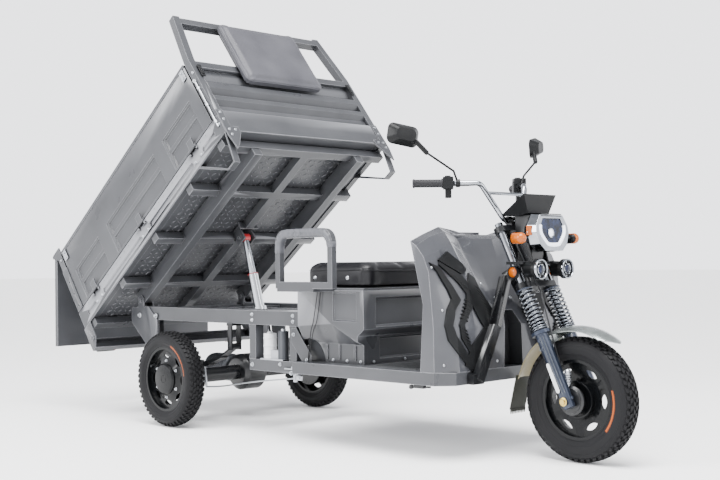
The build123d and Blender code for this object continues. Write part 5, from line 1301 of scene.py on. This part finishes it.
# Teeth cut along the flap's foot.
teeth, tooth = bmesh.new(), 0.104 / 10
flap_foot = min((v.co for v in frame["nodes"]["front_mudguard"].data.vertices), key=lambda p: p.z)
for k in range(10):
    y = -0.052 + tooth * k
    add_slab(teeth, [(flap_foot.x, y + 0.0006, flap_foot.z + 0.001),
                     (flap_foot.x, y + tooth - 0.0006, flap_foot.z + 0.001),
                     (flap_foot.x - 0.003, y + tooth / 2, flap_foot.z - 0.020)], Vector((0.0038, 0, 0)))
piece("flap_teeth", teeth, flap_rubber, "steering")
guard_bolts = []
for angle_deg, y in ((158, -0.034), (158, 0.034), (118, 0.0), (112, 0.0)):
    angle = radians(angle_deg)
    r = 0.2975 - (0.0060 if y else 0.0)
    way = Vector((cos(angle), 0, sin(angle)))
    guard_bolts.append((wheel_hub + way * r + Vector((0, y, 0)), way, 0.2, 0.011))
repeated("guard_bolt_heads", rivet_unit, guard_bolts, black_enamel, "steering")
# A bent wire stay from the fork's front to the guard's side.
stay = bmesh.new()
for side in (-1, 1):
    add_tube(stay, [on_leg(0.262, side, -0.026, -0.018), (2.046, side * 0.066, 0.509),
                    (2.050, side * 0.066, 0.470),
                    (2.044, side * 0.063, 0.439), (2.058, side * 0.061, 0.420)], 0.0024, 8, 5)
piece("guard_stays", stay, zinc_steel, "steering", 60)


# ------------------------------------------------------------------ lamps and dash
# Chromed headlamp with a dark reflector and two white light bars under clear
# acrylic, twin round lamps with bright bezels and amber bullet indicators.
lens_low, lens_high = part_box("headlamp_lens")
dressed("headlamp_shell", chrome, 1.6, angle=20, segments=3)
# Metallised blue-black reflector behind the lens, and the opal acrylic of its lit bars.
dark_reflector = finish("dark_reflector", "#1a2440", "#070a12", 0.0, 0.14, 9.0, 0.03, drift_mm=24, coat=0.1,
                        coat_rough=0.02, shine=0.2)
light_bar = finish("light_bar_diffuser", "#f4f6fa", "#dfe6f4", 0.0, 0.22, 3.0, 0.03, coat=0.6,
                   coat_rough=0.04)
dial(light_bar.node_tree.nodes["Principled BSDF"], Emission_Color=(0.86, 0.93, 1.0, 1), Emission_Strength=0.7)
dressed("headlamp_lens", dark_reflector, 1.0, angle=20)


def lamp_x(y, z, *nodes):
    """The foremost of the lamp's parts at a place across its face."""
    return max(front_of(node, y, z, lens_high.x) for node in nodes)


mid_z = (lens_low.z + lens_high.z) / 2
half_y, half_z = (lens_high.y - lens_low.y) / 2, (lens_high.z - lens_low.z) / 2
bars, route = bmesh.new(), []
for out, up in ((-0.94, 0.50), (-0.97, 0.20), (-0.90, -0.20), (-0.60, -0.72), (-0.36, -0.94), (0.36, -0.94),
                (0.60, -0.72), (0.90, -0.20), (0.97, 0.20), (0.94, 0.50)):
    y, z = out * half_y, mid_z + up * half_z
    route.append(Vector((lamp_x(y * 0.9, z, "headlamp_lens", "headlamp_shell") + 0.0004, y, z)))
add_tube(bars, route, 0.0088, 12, 5)
for vert in bars.verts:
    vert.co.x = lens_high.x + (vert.co.x - lens_high.x) * 0.75
piece("light_bars", bars, light_bar, "steering", 60)
# A projector lens glows faintly in the middle of the dark reflector.
bowl, glow = bmesh.new(), bmesh.new()
bowl_z = mid_z - 0.004
bowl_foot = Vector((lamp_x(0, bowl_z, "headlamp_lens") - 0.001, -0.010, bowl_z))
add_turned(bowl, ((0.0180, 0.0), (0.0205, 0.003), (0.0190, 0.0045), (0.0160, 0.0025), (0.0160, 0.0),
                  (0.0180, 0.0)),
           bowl_foot, (1, 0, 0.1), 40, False)
add_turned(glow, ((0.0158, 0.0), (0.0150, 0.003), (0.010, 0.0055), (0.003, 0.0068)),
           bowl_foot, (1, 0, 0.1), 32)
piece("projector_ring", bowl, chrome, "steering", 40)
piece("lamp_projector", glow, light_bar, "steering", 40)
# Two dark lines across the shell's brow, and an amber marker on each of its sides.
visor = bmesh.new()
for z_up in (0.0735, 0.0660):
    add_tube(visor, [Vector((lamp_x(y, mid_z + 0.070, "headlamp_shell") + 0.001, y, mid_z + z_up))
                     for y in (-0.068, -0.034, 0.0, 0.034, 0.068)], 0.0022, 8, 2)
piece("lamp_visor_lines", visor, black_enamel, "steering", 60)
side_markers = bmesh.new()
shell_x = middle_of("headlamp_shell").x
for side in (-1, 1):
    spot = met("headlamp_shell", (shell_x, side * 0.4, mid_z + 0.012), (0, -side, 0))
    y = spot.y if spot else side * 0.118
    ends = sorted((y - side * 0.002, y + side * 0.0025))
    add_block(side_markers, (shell_x - 0.013, ends[0], mid_z - 0.014),
              (shell_x + 0.013, ends[1], mid_z + 0.026))
piece("lamp_side_markers", side_markers, amber_acrylic, "steering", 30, 1.5)

dressed("dash_cluster", black_abs, 4.0, segments=3)
dash_low, dash_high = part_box("dash_cluster")
# The dial's glass screen and a row of five tell-tales lie in the hood's rear slope.
screen_black = finish("screen_glass", "#141a20", "#0d1116", 0.0, 0.06, 6.0, 0.01, coat=1.0, coat_rough=0.02)
slope = Vector((0.157, 0, 0.086)).normalized()
slope_up = Vector((-slope.z, 0, slope.x))
dash_x = dash_low.x + 0.085
centre = met("dash_cluster", (dash_x, 0, 3.0), (0, 0, -1)) or Vector((dash_x, 0, dash_high.z))
screen = bmesh.new()
add_block(screen, (-0.042, -0.066, -0.002), (0.042, 0.066, 0.002),
          Matrix.Translation(centre) @ turned_to(slope, (0, 1, 0), slope_up).to_4x4())
piece("dash_screen", screen, screen_black, "steering", 30, 1.5)
repeated("tell_tales", rivet_unit, [
    (centre + slope * 0.052 + Vector((0, y, 0)) + slope_up * 0.0005, slope_up, 0, 0.010)
    for y in (-0.05, -0.025, 0.0, 0.025, 0.05)], amber_acrylic, "steering")

dressed("ring_lamps", black_abs, 1.0)
ring_x, ring_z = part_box("ring_lamps")[1].x, middle_of("ring_lamps").z
bezels, eyes, dots = bmesh.new(), bmesh.new(), []
for side in (-1, 1):
    face = Vector((ring_x, side * 0.092, ring_z))
    add_turned(bezels, ((0.0345, -0.008), (0.0412, -0.008), (0.0422, -0.002), (0.0405, 0.0022),
                        (0.0365, 0.0022), (0.0345, -0.001), (0.0345, -0.008)), face, (1, 0, 0), 44, False)
    add_turned(bezels, ((0.0195, -0.0075), (0.0222, -0.003), (0.0205, -0.001), (0.0180, -0.003),
                        (0.0180, -0.0075), (0.0195, -0.0075)), face, (1, 0, 0), 36, False)
    add_turned(eyes, ((0.0178, -0.0078), (0.0165, -0.0035), (0.010, 0.0), (0.003, 0.0015)),
               face, (1, 0, 0), 30)
    for angle in (radians(45 * k) for k in range(8)):
        dots.append((face + Vector((-0.0080, 0.0275 * cos(angle), 0.0275 * sin(angle))), (1, 0, 0), 0,
                     0.0035))
piece("ring_bezels", bezels, chrome, "steering", 40)
piece("ring_eyes", eyes, dark_reflector, "steering", 60)
repeated("ring_led_dots", rivet_unit, dots, light_bar, "steering")
dressed("indicators", amber_acrylic, 0, angle=50, zones=(
    (black_abs, lambda c: abs(c.y) < 0.172 and c.z > wheel_hub.z + 0.62 and c.x > 1.94),))
# Black moulded rims round the side reflectors.
rims = bmesh.new()
for side in (-1, 1):
    middle = on_leg(0.567, side)
    add_turned(rims, ((0.0215, -0.001), (0.0262, -0.001), (0.0268, 0.004), (0.0250, 0.0105), (0.0215, 0.0108),
                      (0.0215, -0.001)), Vector((middle.x, side * 0.1175, middle.z)), (0, side, 0), 36, False)
piece("reflector_bezels", rims, black_abs, "steering", 40)


# ------------------------------------------------------------------ grips and mirrors
# Ribbed rubber grips, moulded switch blocks and toed-in mirrors: silvered glass
# in black ABS shells.
grip_rubber = finish("grip_rubber", "#28282b", "#1e1e20", 0.0, 0.55, 1.2, 0.25)
dressed("grips", grip_rubber, 1.0)
grip_way, grip_ribs = (tip - bend).normalized(), bmesh.new()
for side in (-1, 1):
    end, along = mirrored(tip, side), mirrored(grip_way, side)
    for k in range(22):
        add_turned(grip_ribs, ((0.0162, 0), (0.0176, 0.0008), (0.0176, 0.0022), (0.0162, 0.003)),
                   end - along * (0.010 + 0.0048 * k), along, 20)
    for back, profile in ((0.004, ((0.0165, 0), (0.0195, 0.001), (0.0195, 0.006), (0.014, 0.010))),
                          (0.122, ((0.0165, 0), (0.0205, 0.001), (0.0205, 0.006), (0.0165, 0.007)))):
        add_turned(grip_ribs, profile, end - along * back, along, 20)
piece("grip_rings", grip_ribs, grip_rubber, "steering", 50)
# Switch housings close round the bar beside each grip, with their clamps below.
blocks = bmesh.new()
shared = (((-0.023, -0.027, -0.025), (0.021, 0.027, 0.027)),
          ((-0.015, -0.013, -0.062), (0.012, 0.013, -0.020)))
own = {1: (((-0.026, -0.030, 0.010), (0.030, 0.024, 0.040)), ((0.018, -0.012, 0.034), (0.040, 0.012, 0.046))),
       -1: (((-0.012, -0.020, 0.024), (0.012, 0.004, 0.033)),)}
for side in (-1, 1):
    along = mirrored(grip_way, side)
    level_way = Vector((0, 0, 1)).cross(along).normalized()
    turn = (Matrix.Translation(mirrored(tip, side) - along * 0.143)
            @ turned_to(along, level_way, along.cross(level_way)).to_4x4())
    for low, high in shared + own[side]:
        add_block(blocks, low, high, turn)
piece("switch_blocks", blocks, black_abs, "steering", 30, 3.0)
dressed("mirrors", black_abs, 3.0, angle=38, segments=3)
glass_silver = finish("mirror_silvering", "#e2e7ec", "#dce2e8", 1.0, 0.03, 20.0, 0.0)
panes, turn_in = bmesh.new(), radians(21)


def squared(share):
    """Draws a circle's sine or cosine out towards a rounded rectangle."""
    return abs(share) ** 0.55 * (1 if share > 0 else -1)


for side in (-1, 1):
    facing = Vector((-cos(turn_in), -side * sin(turn_in), 0))
    span = (Vector((-sin(turn_in), side * cos(turn_in), 0)) + Vector((0, 0, 0.17))).normalized()
    head = Vector((wheel_hub.x - 0.542, side * 0.447, wheel_hub.z + 1.085)) + facing * 0.0081
    rise = facing.cross(span) * side
    add_slab(panes, [head + span * (0.064 * squared(cos(angle))) + rise * (0.037 * squared(sin(angle)))
                     for angle in (2 * pi * k / 40 for k in range(40))], facing * 0.0012)
piece("mirror_panes", panes, glass_silver, "steering", 30)
